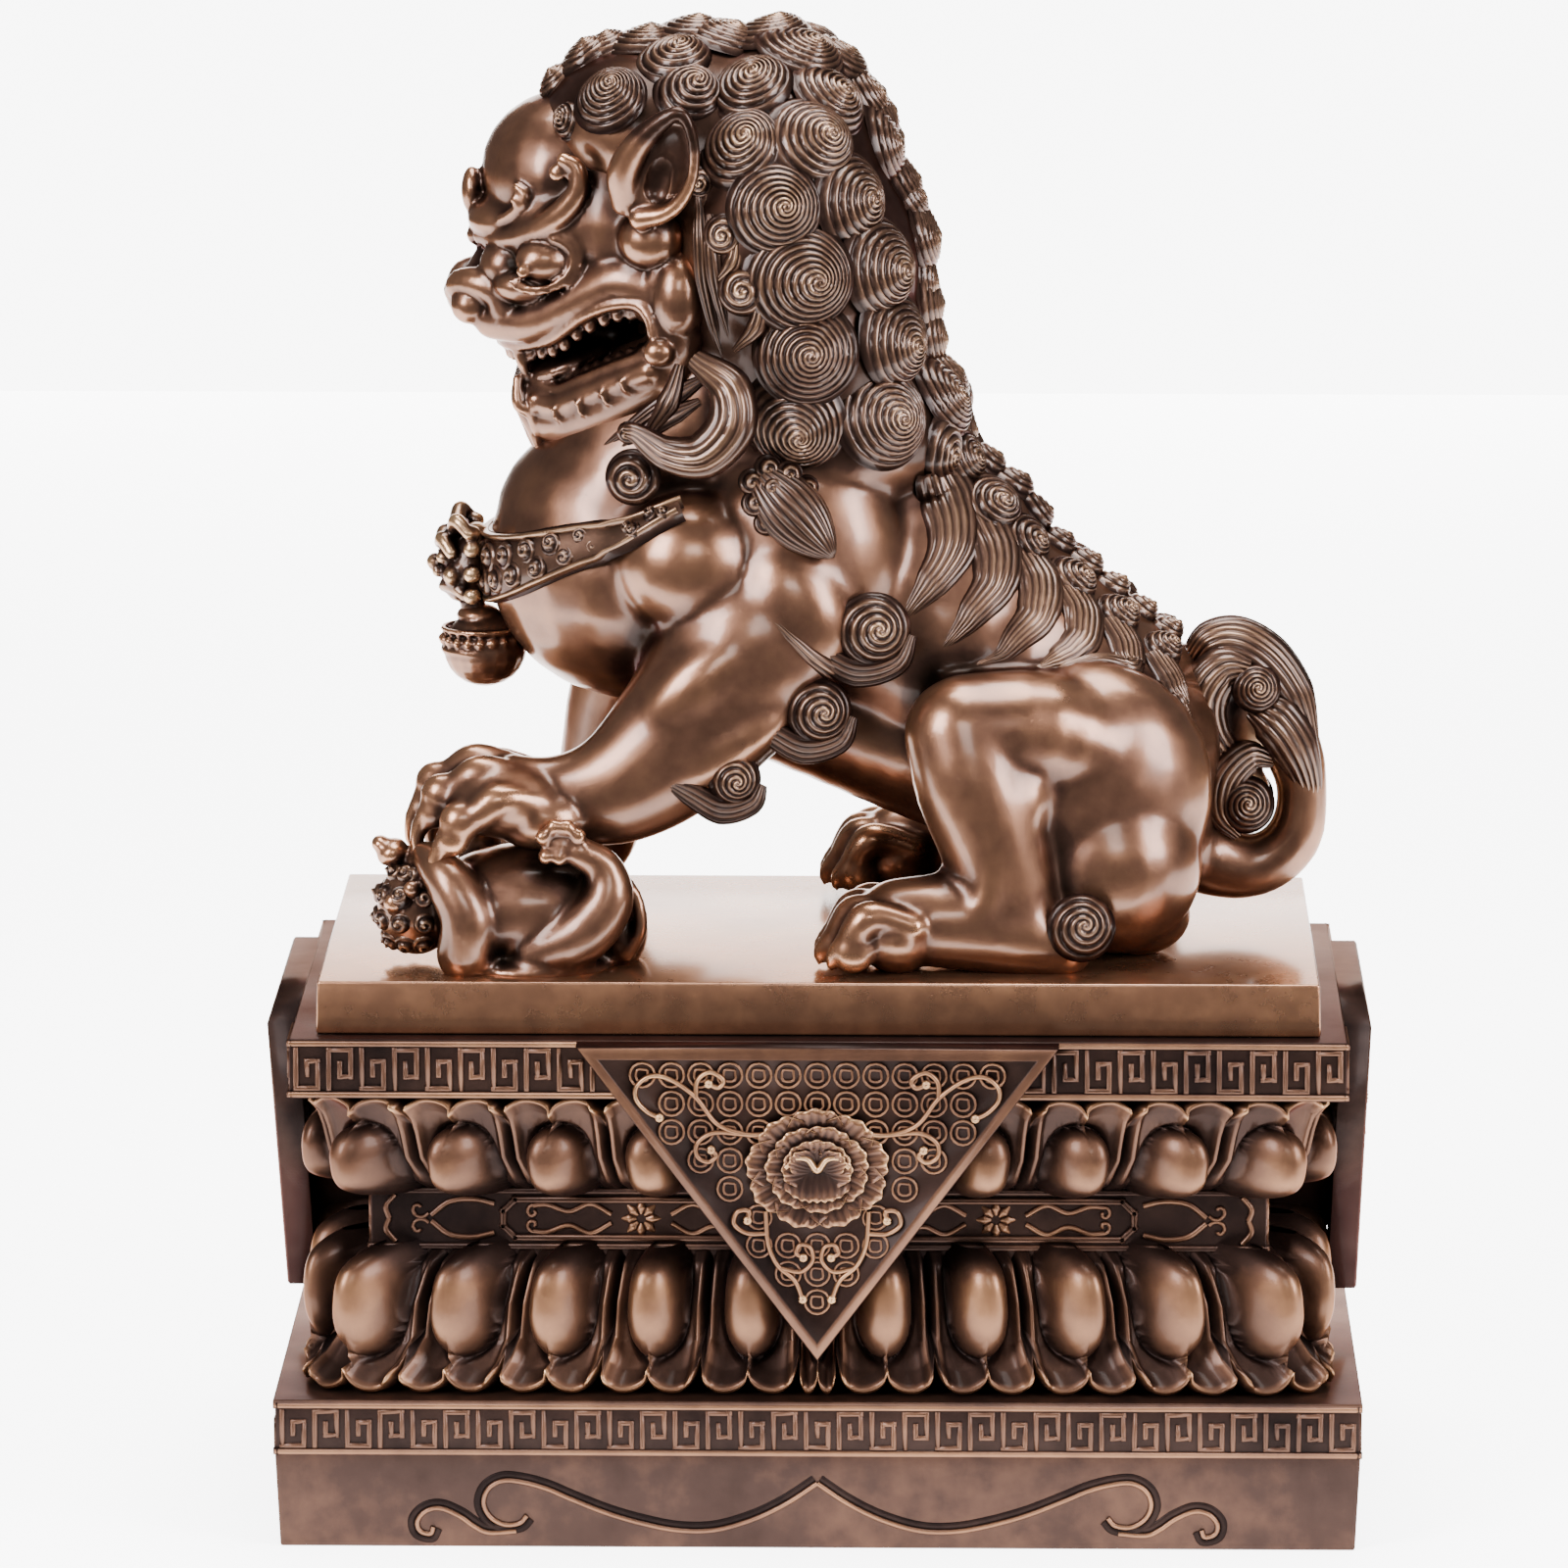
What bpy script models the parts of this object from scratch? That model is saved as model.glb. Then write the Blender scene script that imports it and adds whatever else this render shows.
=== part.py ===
"""A cast bronze guardian lioness with her cub, on a lotus pedestal.

She faces -X, her left flank faces -Y and +Z is up. The origin is the middle of the pedestal's underside.
Sizes below are in millimetres, and MM turns them into metres.
"""

import math

import bmesh
import bpy
import numpy as np
from mathutils import Euler, Matrix, Vector
from mathutils.bvhtree import BVHTree

MM = 0.001
SIDES = (-1, 1)

# Pedestal, from the ground up: half lengths along X, half depths along Y, and heights.
BASE_HALF_X, BASE_HALF_Y = 180.0, 102.0
BASE_TAPER = 1.5
FRET_LOW, BASE_TOP = 31.7, 50.8
FRET_PROUD = 0.8
WAIST_HALF_X, WAIST_HALF_Y = 149.0, 72.0
WAIST_LOW, WAIST_HIGH = 45.0, 155.0
CORNICE_HALF_X, CORNICE_HALF_Y = 175.2, 98.0
CORNICE_LOW, CORNICE_TOP = 151.8, 171.7
SLAB_HALF_X, SLAB_HALF_Y = 165.7, 89.5
SEAT_GAP = 0.3
SLAB_TOP = 189.6

# Lotus petals: the outline of their bellies, how many on the long and short sides, and a thin bud in the middle.
PETAL_HALF_X, PETAL_HALF_Y, PETAL_CORNER = 171.5, 95.5, 20.0
LONG_PETALS, SHORT_PETALS = 10, 5
PETAL_PITCH, CENTRE_BUD = 33.5, 12.8
STEPS_PER_PETAL = 3
# Each level of a petal: share of the way from root to tip, share of the reach, depth of the groove between petals.
PETAL_PROFILE = ((0.0, -0.4, 0.0), (0.22, 0.6, 5.0), (0.56, 1.0, 6.5), (0.84, 0.84, 4.0), (1.0, 0.96, 2.0),
                 (0.9, -0.4, 0.0))

# Cloth drapes, one on each side of the cornice.
DRAPE_LONG_HALF, DRAPE_SHORT_HALF = 79.5, 69.0
DRAPE_TIP_Z = 65.0
DRAPE_THICK = 10.0
DRAPE_ROOT, ROOT_SHARE, ROOT_TIP_Z = 37.2, 0.62, 87.0
DRAPE_PROUD = 8.3
DRAPE_LEAN = 1.5
FLOWER_Z = 134.0

# Remeshing: the fineness of the clay and the number of triangles kept for the lion.
CLAY_VOXEL = 2.4
DETAIL_VOXEL = 1.7
LION_TRIANGLES = 5400
BALL_SEGMENTS, BALL_RINGS = 16, 10

# Mane: rings of curls about a line through the cheeks, each (distance out, sideways, first and last angle, count).
MANE_X, MANE_Z = -57.0, 405.0
MANE_RINGS = (
    (95.0, 0.0, 116.0, -17.0, 9),
    (93.0, 27.0, 98.0, -27.0, 8),
    (82.0, 48.0, 108.0, -22.0, 8),
    (61.0, 61.0, 99.0, -37.0, 7),
)
CURL_RADIUS, CURL_RISE = 14.5, 8.5


def start_clean():
    for old in list(bpy.data.objects):
        bpy.data.objects.remove(old, do_unlink=True)
    home = bpy.data.collections.new("guardian_lion_statue")
    bpy.context.scene.collection.children.link(home)
    return home


HOME = start_clean()


def bronze(name, colour, roughness):
    material = bpy.data.materials.new(name)
    material.use_nodes = True
    shader = material.node_tree.nodes["Principled BSDF"]
    shader.inputs["Base Color"].default_value = (*colour, 1.0)
    shader.inputs["Roughness"].default_value = roughness
    shader.inputs["Metallic"].default_value = 0.9
    return material


def object_of(name, shape):
    """A new object in the statue's collection, made from a bmesh."""
    mesh = bpy.data.meshes.new(name)
    bmesh.ops.recalc_face_normals(shape, faces=shape.faces[:])
    shape.to_mesh(mesh)
    shape.free()
    made = bpy.data.objects.new(name, mesh)
    HOME.objects.link(made)
    return made


def moulded(name, clay, core=None):
    """An object of all the balls of clay, each a matrix on the same ball, and a core mesh if one is given."""
    ball = bmesh.new()
    bmesh.ops.create_uvsphere(ball, u_segments=BALL_SEGMENTS, v_segments=BALL_RINGS, radius=1.0)
    points = np.array([(*v.co, 1.0) for v in ball.verts])
    sides = [[v.index for v in f.verts] for f in ball.faces]
    ball.free()
    corners = np.concatenate([points @ np.array(place).T for place in clay])[:, :3].tolist()
    faces = [[i + n * len(points) for i in side] for n in range(len(clay)) for side in sides]
    if core:
        faces += [[i + len(corners) for i in side.vertices] for side in core.polygons]
        corners += [tuple(v.co) for v in core.vertices]
    mesh = bpy.data.meshes.new(name)
    mesh.from_pydata(corners, [], faces)
    made = bpy.data.objects.new(name, mesh)
    HOME.objects.link(made)
    return made


def settle(made):
    """Applies an object's modifiers to its mesh."""
    bpy.context.view_layer.update()
    graph = bpy.context.evaluated_depsgraph_get()
    finished = bpy.data.meshes.new_from_object(made.evaluated_get(graph))
    made.modifiers.clear()
    made.data = finished
    return made


def remesh(made, voxel, smoothing):
    """Fuses overlapping shapes into one skin and softens the joins."""
    skin = made.modifiers.new("skin", "REMESH")
    skin.mode = "VOXEL"
    skin.voxel_size = voxel * MM
    soft = made.modifiers.new("soft", "SMOOTH")
    soft.factor = 0.5
    soft.iterations = smoothing
    return settle(made)


def largest_piece(made):
    """Drops the loose scraps that remeshing can leave, and keeps the one big skin."""
    shape = bmesh.new()
    shape.from_mesh(made.data)
    unseen = set(shape.verts)
    pieces = []
    while unseen:
        edge_of_piece = [unseen.pop()]
        piece = []
        while edge_of_piece:
            corner = edge_of_piece.pop()
            piece.append(corner)
            near = {e.other_vert(corner) for e in corner.link_edges} & unseen
            unseen -= near
            edge_of_piece += near
        pieces.append(piece)
    pieces.sort(key=len)
    scraps = [v for piece in pieces[:-1] for v in piece]
    bmesh.ops.delete(shape, geom=scraps, context="VERTS")
    shape.to_mesh(made.data)
    shape.free()
    return made


def union(first, others):
    """Joins solids into the first one with exact Booleans."""
    for other in others:
        cut = first.modifiers.new("join", "BOOLEAN")
        cut.operation = "UNION"
        cut.solver = "EXACT"
        cut.object = other
        settle(first)
        bpy.data.objects.remove(other)
    return first


def spline(points, share):
    """A smooth curve through the points; share runs from 0 to 1 along them."""
    spans = len(points) - 1
    place = min(share * spans, spans - 1e-6)
    i = int(place)
    t = place - i
    p1, p2 = Vector(points[i]), Vector(points[i + 1])
    p0 = Vector(points[i - 1]) if i > 0 else 2 * p1 - p2
    p3 = Vector(points[i + 2]) if i + 2 <= spans else 2 * p2 - p1
    return 0.5 * (2 * p1 + (p2 - p0) * t + (2 * p0 - 5 * p1 + 4 * p2 - p3) * t * t + (3 * p1 - p0 - 3 * p2 + p3) * t**3)


def lump(clay, centre, radii, turn=(0, 0, 0)):
    """A ball of clay, stretched to three radii and turned by degrees."""
    place = Matrix.Translation(Vector(centre) * MM)
    angles = Euler([math.radians(a) for a in turn]).to_matrix().to_4x4()
    clay.append(place @ angles @ Matrix.Diagonal((*(r * MM for r in radii), 1.0)))


def limb(clay, stations, flat=1.0):
    """A tapering limb: balls along a smooth path of (x, y, z, radius), narrowed in Y by flat."""
    length = sum((Vector(a[:3]) - Vector(b[:3])).length for a, b in zip(stations, stations[1:]))
    thin = min(s[3] for s in stations)
    steps = max(3, int(length / (0.45 * thin)))
    for i in range(steps + 1):
        x, y, z, r = spline(stations, i / steps)
        lump(clay, (x, y, z), (r, r * flat, r))


def aimed(place, normal, size):
    """A matrix that puts a shape's +Z along a surface normal at a place in metres."""
    turn = normal.to_track_quat("Z", "Y").to_matrix().to_4x4()
    return Matrix.Translation(place) @ turn @ Matrix.Diagonal((*(s * MM for s in size), 1.0))


def curl(clay, place, normal, radius, rise):
    """A domed curl of hair with a nub in the middle, seated on the surface."""
    for share, height in ((1.0, 0.86), (0.42, 1.15)):
        clay.append(aimed(place, normal, (radius * share, radius * share, rise * height)))


def lioness_flesh(clay):
    """Trunk, neck, haunches and skull, before the details."""
    lump(clay, (-62, 0, 316), (51, 50, 47))
    lump(clay, (-62, 0, 342), (36, 42, 34))
    limb(clay, ((-8, 0, 326, 48), (40, 0, 293, 48), (88, 0, 254, 48)))
    lump(clay, (87, 0, 238), (47, 50, 53))
    limb(clay, ((-12, 0, 402, 40), (-36, 0, 362, 44), (-52, 0, 348, 42)))
    lump(clay, (-66, 0, 330), (44, 44, 36))
    limb(clay, ((-30, 0, 278, 24), (-12, 0, 272, 25), (10, 0, 264, 26), (32, 0, 258, 29), (50, 0, 252, 30)), 1.35)
    limb(clay, ((10, 0, 350, 30), (44, 0, 318, 32)))
    lump(clay, (-62, 0, 434), (39, 40, 36))
    lump(clay, (-84, 0, 448), (30, 31, 27))
    lump(clay, (-90, 0, 403), (24, 24, 12), (0, -18, 0))
    limb(clay, ((-80, 0, 368, 9), (-60, 0, 376, 17), (-40, 0, 384, 28)), 1.15)
    for side in SIDES:
        lump(clay, (-8, side * 36, 322), (37, 25, 44))
        lump(clay, (-46, side * 43, 321), (26, 20, 27))
        lump(clay, (84, side * 44, 247), (46, 28, 45), (0, 20, 0))
        lump(clay, (48, side * 59, 265), (21, 18, 22))
        lump(clay, (92, side * 43, 216), (31, 27, 27))
        lump(clay, (106, side * 36, 202), (18, 22, 13))
        lump(clay, (-83, side * 17, 430), (23, 18, 20))
        lump(clay, (-50, side * 36, 402), (14, 12, 20))


def mane_mass(clay):
    """The hair's bulk that the curls sit on."""
    lump(clay, (-24, 0, 429), (50, 62, 64))
    lump(clay, (-14, 0, 415), (48, 60, 50))
    lump(clay, (-62, 0, 464), (31, 42, 26))
    lump(clay, (-2, 0, 390), (38, 60, 46))
    lump(clay, (2, 0, 362), (44, 56, 34))


def forelegs(clay):
    """The left paw holds the cub down, and the right leg stands straight."""
    limb(clay, ((-22, -46, 294, 31), (-46, -52, 265, 26), (-66, -56, 248, 20), (-86, -57, 240, 14.5),
                (-102, -56, 240, 13.5)), 0.78)
    lump(clay, (-100, -56, 243), (20, 20, 10))
    near_toes = ((-111, -74, 235), (-120, -63, 240), (-124, -50, 243), (-119, -37, 242))
    for x, y, z in near_toes:
        limb(clay, ((x + 18, y * 0.9 - 5, z + 8, 7.5), (x + 6, y, z + 7, 7.5), (x - 1, y, z + 1, 8), (x - 4, y, z - 7, 6.5)))
        limb(clay, ((x - 4, y, z - 7, 5), (x - 8, y, z - 18, 3.6), (x - 6, y, z - 28, 2)))
    limb(clay, ((-42, 42, 305, 29), (-65, 49, 268, 21), (-75, 51, 236, 16), (-78, 51, 212, 14.5),
                (-90, 51, 203, 13.5), (-101, 51, 200, 12)))
    standing_toes(clay, -103, 51, 197)


def standing_toes(clay, x, middle, z):
    """Four toes with blunt claws at the front of a flat paw."""
    for i in range(4):
        y = middle + (i - 1.5) * 9.2
        reach = 3.5 if i in (1, 2) else 0.0
        limb(clay, ((x + 14, y, z + 6, 7), (x + 1 - reach, y, z + 7, 7.2), (x - 5 - reach, y, z - 1, 6.8)))
        limb(clay, ((x - 7 - reach, y, z, 4.5), (x - 10 - reach, y, z - 7, 2.5)))


def hindlegs(clay):
    for side in SIDES:
        limb(clay, ((47, side * 60, 262, 20), (52, side * 63, 238, 17.5), (59, side * 65, 216, 15),
                    (63, side * 66, 205, 14.5)))
        limb(clay, ((80, side * 66, 198, 12), (62, side * 66, 201, 14), (40, side * 67, 202, 13.5),
                    (18, side * 67, 201, 12.5)))
        standing_toes(clay, 13, side * 66, 196.5)


def tail(clay):
    """The tail leaves the rump low, sweeps up and breaks into a flame of curls."""
    limb(clay, ((112, 0, 226, 17), (134, 0, 213, 12.5), (149, 0, 212.5, 10.5), (159.5, 0, 222, 9.8), (162, 0, 238, 9),
                (158.5, 0, 252, 10.5), (151, 0, 266, 13), (142, 0, 277, 13), (132, 0, 282, 9)))
    lump(clay, (141, 0, 263), (17, 17, 26), (0, 8, 0))
    for side in SIDES:
        for x, y, z, r in ((136, 14, 280, 9), (152, 14, 272, 9), (139, 10, 238, 12)):
            curl(clay, Vector((x, side * (y - 3), z)) * MM, Vector((0, side, 0.1)), r, 7)


def face(clay):
    """Brows, eyes, nose, lips, jaw and ears."""
    lump(clay, (-104, 0, 432), (15, 22, 9))
    lump(clay, (-117, 0, 440), (4, 7, 9))
    limb(clay, ((-100, 0, 422, 13), (-108, 0, 411, 12)))
    lump(clay, (-117, 0, 406), (9, 14, 9))
    lump(clay, (-78, 0, 386), (22, 8, 12))
    lump(clay, (-92, 0, 358), (6, 9, 8))
    for side in SIDES:
        limb(clay, ((-113, side * 7, 427, 5), (-107, side * 16, 427, 5.5), (-98, side * 26, 430, 6), (-88, side * 33, 437, 6),
                    (-80.5, side * 36.5, 446, 5), (-84, side * 37, 454, 4.5)))
        limb(clay, ((-112, side * 12, 431, 3), (-100, side * 27, 441, 4)))
        lump(clay, (-92, side * 30, 421.5), (9.5, 8.5, 8))
        limb(clay, ((-120, side * 11, 408, 6), (-110, side * 17, 409, 6), (-105, side * 17, 402, 6)))
        limb(clay, ((-109, side * 12, 399, 8), (-96, side * 20, 399.5, 8.5), (-82, side * 28, 406, 8.5),
                    (-66, side * 35, 413, 9), (-54, side * 39, 408, 9), (-53, side * 43, 398, 5)))
        lump(clay, (-52, side * 40, 427), (12, 9, 11))
        lump(clay, (-46, side * 40, 408), (11, 10, 16))
        limb(clay, ((-98, side * 5, 373, 8), (-88, side * 14, 371, 9), (-77, side * 22, 375, 9), (-66, side * 29, 380, 9),
                    (-55, side * 36, 387, 8)))


def ear(clay, side):
    """An upright cupped ear: a ring of rim beads round a hollow."""
    rim = ((-63, 48, 442, 5), (-62, 55, 453, 4.5), (-55, 60, 465, 3.5), (-48.5, 62, 475, 2.6), (-42.5, 62, 466, 3),
           (-41.5, 59, 453, 3), (-47, 56, 442, 3.2), (-56, 52, 438, 4))
    limb(clay, [(x, side * y, z, r) for x, y, z, r in rim + rim[:1]])
    lump(clay, (-52, side * 52, 454), (11, 5, 17), (0, 20, 0))


def cub(clay):
    """The cub lies on its back under her left paw."""
    lump(clay, (-98, -57, 206), (33, 19, 19))
    lump(clay, (-76, -55, 208), (16, 20, 19))
    lump(clay, (-67, -52, 199), (10, 16, 13))
    lump(clay, (-134, -57, 208), (14, 15, 17))
    lump(clay, (-95, -63, 190), (27, 20, 5))
    lump(clay, (-142, -58, 227), (6.5, 7, 6), (0, -30, 0))
    limb(clay, ((-131, -62, 228, 5), (-124, -72, 220, 7), (-117.5, -75, 207, 9), (-117, -74, 195, 9)))
    limb(clay, ((-92, -72, 196, 8), (-77.5, -75, 205, 9), (-69, -74, 217, 8), (-72, -74, 228, 6), (-84, -76, 231, 6.5)))
    limb(clay, ((-118, -44, 214, 8), (-112, -42, 226, 7)))
    for i in range(5):
        for j in range(3):
            around, down = math.radians(-60 + 40 * i), math.radians(-50 + 40 * j)
            out = Vector((-math.cos(down) * math.cos(around), -math.cos(down) * math.sin(around), math.sin(down)))
            middle = Vector((-133, -57, 207))
            lump(clay, middle + Vector((out.x * 15, out.y * 15, out.z * 16)), (4, 4, 4))


def collar(clay, skin):
    """A strap round the chest with a mask and a bell in front and a tassel on each flank."""
    for i in range(-16, 17):
        around = math.radians(i * 6.2)
        guess = Vector((-58 - 62 * math.cos(around), 62 * math.sin(around), 345 - 31 * math.cos(around))) * MM
        place, normal, _, _ = skin.find_nearest(guess)
        half = 6 + 5 * math.cos(around / 1.15) ** 2
        lump(clay, place / MM, (half * 0.8, half * 0.8, half))
    lump(clay, (-120, 0, 316), (9.5, 15, 15), (0, 18, 0))
    limb(clay, ((-118, 0, 304, 5), (-116, 0, 298, 7)))
    lump(clay, (-114.5, 0, 285.5), (14, 14, 13))
    for side in SIDES:
        lump(clay, (-18, side * 61, 353), (11, 7, 9))
        limb(clay, ((-18, side * 61, 352, 9), (-10, side * 62, 343, 10.5), (-2, side * 60, 334, 8), (4, side * 58, 328, 2)), 0.7)


def hair(clay, skin):
    """Mane curls in rings, beard locks, spine curls with flame locks, and the curls behind the legs."""
    for out, sideways, first, last, count in MANE_RINGS:
        for side in SIDES if sideways else (1,):
            for i in range(count):
                angle = math.radians(first + (last - first) * i / (count - 1))
                guess = Vector((MANE_X + out * math.cos(angle), side * sideways, MANE_Z + out * math.sin(angle)))
                place, normal, _, _ = skin.find_nearest(guess * MM)
                curl(clay, place, normal, CURL_RADIUS, CURL_RISE)
    for i in range(6):
        share = i / 5
        radius = 11 - 4 * share
        middle = Vector((58 + 62 * share, 0, 352 - 68 * share))
        place, normal, _, _ = skin.find_nearest(middle * MM)
        curl(clay, place, normal, radius, 7)
        for side in SIDES:
            beside = middle + Vector((-2, side * (26 - 8 * share), -6))
            place, normal, _, _ = skin.find_nearest(beside * MM)
            curl(clay, place, normal, radius, 7)
            lock = []
            for j in range(5):
                fall = j / 4
                guess = middle + Vector((4 + 3 * math.sin(fall * 5), side * (34 + 14 * fall - 8 * share), -14 - (34 - 8 * share) * fall))
                place, normal, _, _ = skin.find_nearest(guess * MM)
                lock.append((*(place / MM), (7 - 5.5 * fall) * (1 - 0.35 * share)))
            limb(clay, lock)
    for side in SIDES:
        limb(clay, ((-38, side * 54, 394, 6), (-32, side * 58, 382, 8), (-38, side * 57, 368, 7), (-52, side * 53, 362, 5),
                    (-62, side * 50, 368, 4)))
        for x, y, z, r in ((-62, 57, 355, 10), (-36, 62, 420, 8), (-38, 60, 436, 8), (14, 60, 303, 12.5), (-2, 62, 275, 11),
                           (-26, 64, 254, 10), (86, 72, 206, 11), (-78, 30, 484, 11)):
            place, normal, _, _ = skin.find_nearest(Vector((x, side * y, z)) * MM)
            curl(clay, place, normal, r, 8)


def guardian_lion():
    """Clay for the flesh, softened; then the details, fused; then the slab that was cast with it."""
    clay = []
    lioness_flesh(clay)
    mane_mass(clay)
    forelegs(clay)
    hindlegs(clay)
    flesh = remesh(moulded("flesh", clay), CLAY_VOXEL, 8)
    skin = BVHTree.FromPolygons([v.co for v in flesh.data.vertices], [f.vertices for f in flesh.data.polygons])
    clay = []
    face(clay)
    tail(clay)
    cub(clay)
    collar(clay, skin)
    hair(clay, skin)
    lion = remesh(moulded("guardian_lion", clay, flesh.data), DETAIL_VOXEL, 2)
    bpy.data.objects.remove(flesh)
    largest_piece(lion)
    thin = lion.modifiers.new("thin", "DECIMATE")
    thin.ratio = LION_TRIANGLES / (2 * len(lion.data.polygons))
    settle(lion)
    return union(lion, [block("slab", SLAB_HALF_X, SLAB_HALF_Y, CORNICE_TOP + SEAT_GAP, SLAB_TOP)])


def block(name, half_x, half_y, low, high, spread=0.0):
    """A rectangular block whose top is wider than its foot by spread on each side."""
    shape = bmesh.new()
    place = Matrix.Translation(Vector((0, 0, (low + high) / 2)) * MM)
    size = Matrix.Diagonal((2 * half_x * MM, 2 * half_y * MM, (high - low) * MM, 1.0))
    bmesh.ops.create_cube(shape, size=1.0, matrix=place @ size)
    for corner in shape.verts:
        if corner.co.z < (low + high) / 2 * MM:
            corner.co.x -= math.copysign(spread * MM, corner.co.x)
            corner.co.y -= math.copysign(spread * MM, corner.co.y)
    return object_of(name, shape)


def rounded_outline(half_x, half_y, corner, walk):
    """The point reached by walking round a rounded rectangle from the middle of its +X side."""
    straight_x, straight_y, arc = 2 * (half_x - corner), 2 * (half_y - corner), math.pi / 2 * corner
    walk = (walk + straight_y / 2) % (2 * straight_x + 2 * straight_y + 4 * arc)
    for run, turn in ((straight_y, 0), (straight_x, 90), (straight_y, 180), (straight_x, 270)):
        facing = math.radians(turn)
        out = Vector((math.cos(facing), math.sin(facing)))
        along = Vector((-out.y, out.x))
        near = half_x if turn in (0, 180) else half_y
        far = half_y if turn in (0, 180) else half_x
        if walk <= run:
            return out * near + along * (walk - run / 2)
        walk -= run
        if walk <= arc:
            bend = facing + walk / corner
            middle = out * (near - corner) + along * (far - corner)
            return middle + Vector((math.cos(bend), math.sin(bend))) * corner
        walk -= arc


def petal_edges():
    """Where the grooves between petals fall along the outline, for one whole walk round."""
    whole = 4 * (PETAL_HALF_X + PETAL_HALF_Y) - (8 - 2 * math.pi) * PETAL_CORNER
    short = [PETAL_PITCH * (i + 0.5) for i in range(SHORT_PETALS // 2 + 1)]
    middle = whole / 4
    long = [middle - CENTRE_BUD / 2 - PETAL_PITCH * i for i in range(LONG_PETALS // 2)]
    quarter = short[:-1] + [(short[-1] + middle - CENTRE_BUD / 2 - PETAL_PITCH * LONG_PETALS / 2) / 2] + long[::-1]
    half = quarter + [2 * middle - w for w in reversed(quarter)]
    return half + [w + whole / 2 for w in half], whole


def loft(name, rings):
    """A solid through rings of points, with a flat cap on the first and the last."""
    shape = bmesh.new()
    rows = [[shape.verts.new(Vector(p) * MM) for p in ring] for ring in rings]
    count = len(rows[0])
    for low, high in zip(rows, rows[1:]):
        for i in range(count):
            shape.faces.new((low[i], low[(i + 1) % count], high[(i + 1) % count], high[i]))
    shape.faces.new(rows[0][::-1])
    shape.faces.new(rows[-1])
    return object_of(name, shape)


def lotus_row(name, root_z, tip_z, spread, notch):
    """A row of bulging petals round the pedestal, from the waist at root_z to the tips at tip_z."""
    edges, whole = petal_edges()
    rings = []
    for down, reach, split in PETAL_PROFILE:
        inset = spread * (1 - reach)
        ring = []
        for first, last in zip(edges, edges[1:] + [edges[0] + whole]):
            for step in range(STEPS_PER_PETAL):
                place = rounded_outline(PETAL_HALF_X, PETAL_HALF_Y, PETAL_CORNER,
                                        first + (last - first) * step / STEPS_PER_PETAL)
                edge = 1 - math.sin(math.pi * step / STEPS_PER_PETAL) ** 0.5
                narrow = inset + split * edge
                low = notch * edge if down == 1.0 else 0.0
                ring.append((place.x * (1 - narrow / PETAL_HALF_X), place.y * (1 - narrow / PETAL_HALF_Y),
                             root_z + (tip_z - root_z) * (down - low)))
        rings.append(ring)
    return loft(name, rings)


def flower(name, facing, out_reach):
    """A peony boss on a drape: a scalloped disc rising in two rounds of petals to a heart."""
    turn = Matrix.Rotation(math.radians(facing), 4, "Z")
    rings = []
    for radius, proud, scallop in ((24.0, -4.0, 0.1), (25.0, -0.3, 0.1), (15.0, 0.9, 0.16), (5.0, 1.5, 0.0)):
        ring = []
        for i in range(16):
            angle = 2 * math.pi * i / 16
            reach = radius * (1 - scallop * (i % 2))
            ring.append(turn @ Vector((1.08 * reach * math.cos(angle), -out_reach - proud,
                                       FLOWER_Z + 0.86 * reach * math.sin(angle))))
        rings.append(ring)
    return loft(name, rings)


def drape(name, facing, half_width, out_reach):
    """A three-cornered cloth that hangs from the cornice, its hem raised round a sunken field."""
    top = CORNICE_TOP - 0.4
    turn = Matrix.Rotation(math.radians(facing), 4, "Z")
    rings = []
    for depth, inset in ((DRAPE_THICK, 0.0), (0.0, 0.0), (0.0, 4.0), (1.2, 4.6)):
        y = depth - out_reach
        across = inset * 1.9
        ring = ((inset * 2.2 - half_width, y, top - inset), (half_width - inset * 2.2, y, top - inset),
                (0, y + DRAPE_LEAN, DRAPE_TIP_Z + across))
        rings.append([turn @ Vector(p) for p in ring])
    return loft(name, rings)


def drape_root(name, facing, half_width, out_reach):
    """The narrower wedge of metal behind a drape that runs in to the waist."""
    turn = Matrix.Rotation(math.radians(facing), 4, "Z")
    rings = []
    for depth in (DRAPE_ROOT, DRAPE_THICK - 2.6):
        y = depth - out_reach
        ring = ((-half_width * ROOT_SHARE, y, CORNICE_LOW + 3.0), (half_width * ROOT_SHARE, y, CORNICE_LOW + 3.0),
                (0, y, ROOT_TIP_Z))
        rings.append([turn @ Vector(p) for p in ring])
    return loft(name, rings)


def lotus_pedestal():
    """Base, two lotus rows about a waist, a cornice and four drapes, cast as one."""
    base = block("lotus_pedestal", BASE_HALF_X, BASE_HALF_Y, 0.0, BASE_TOP, BASE_TAPER)
    band = block("band", BASE_HALF_X + FRET_PROUD, BASE_HALF_Y + FRET_PROUD, FRET_LOW, BASE_TOP - 0.6)
    lower = lotus_row("lower", 97.0, 50.2, 24.0, 0.09)
    waist = block("waist", WAIST_HALF_X, WAIST_HALF_Y, WAIST_LOW, WAIST_HIGH)
    upper = lotus_row("upper", 117.0, 153.0, 23.0, 0.07)
    cornice = block("cornice", CORNICE_HALF_X, CORNICE_HALF_Y, CORNICE_LOW, CORNICE_TOP)
    drapes = []
    for facing in (0, 90, 180, 270):
        long_side = facing in (0, 180)
        reach = (CORNICE_HALF_Y if long_side else CORNICE_HALF_X) + DRAPE_PROUD
        half = DRAPE_LONG_HALF if long_side else DRAPE_SHORT_HALF
        drapes.append(drape_root("root", facing, half, reach))
        drapes.append(drape("drape", facing, half, reach))
        drapes.append(flower("flower", facing, reach))
    return union(base, [band, lower, waist, upper, cornice, *drapes])


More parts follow.
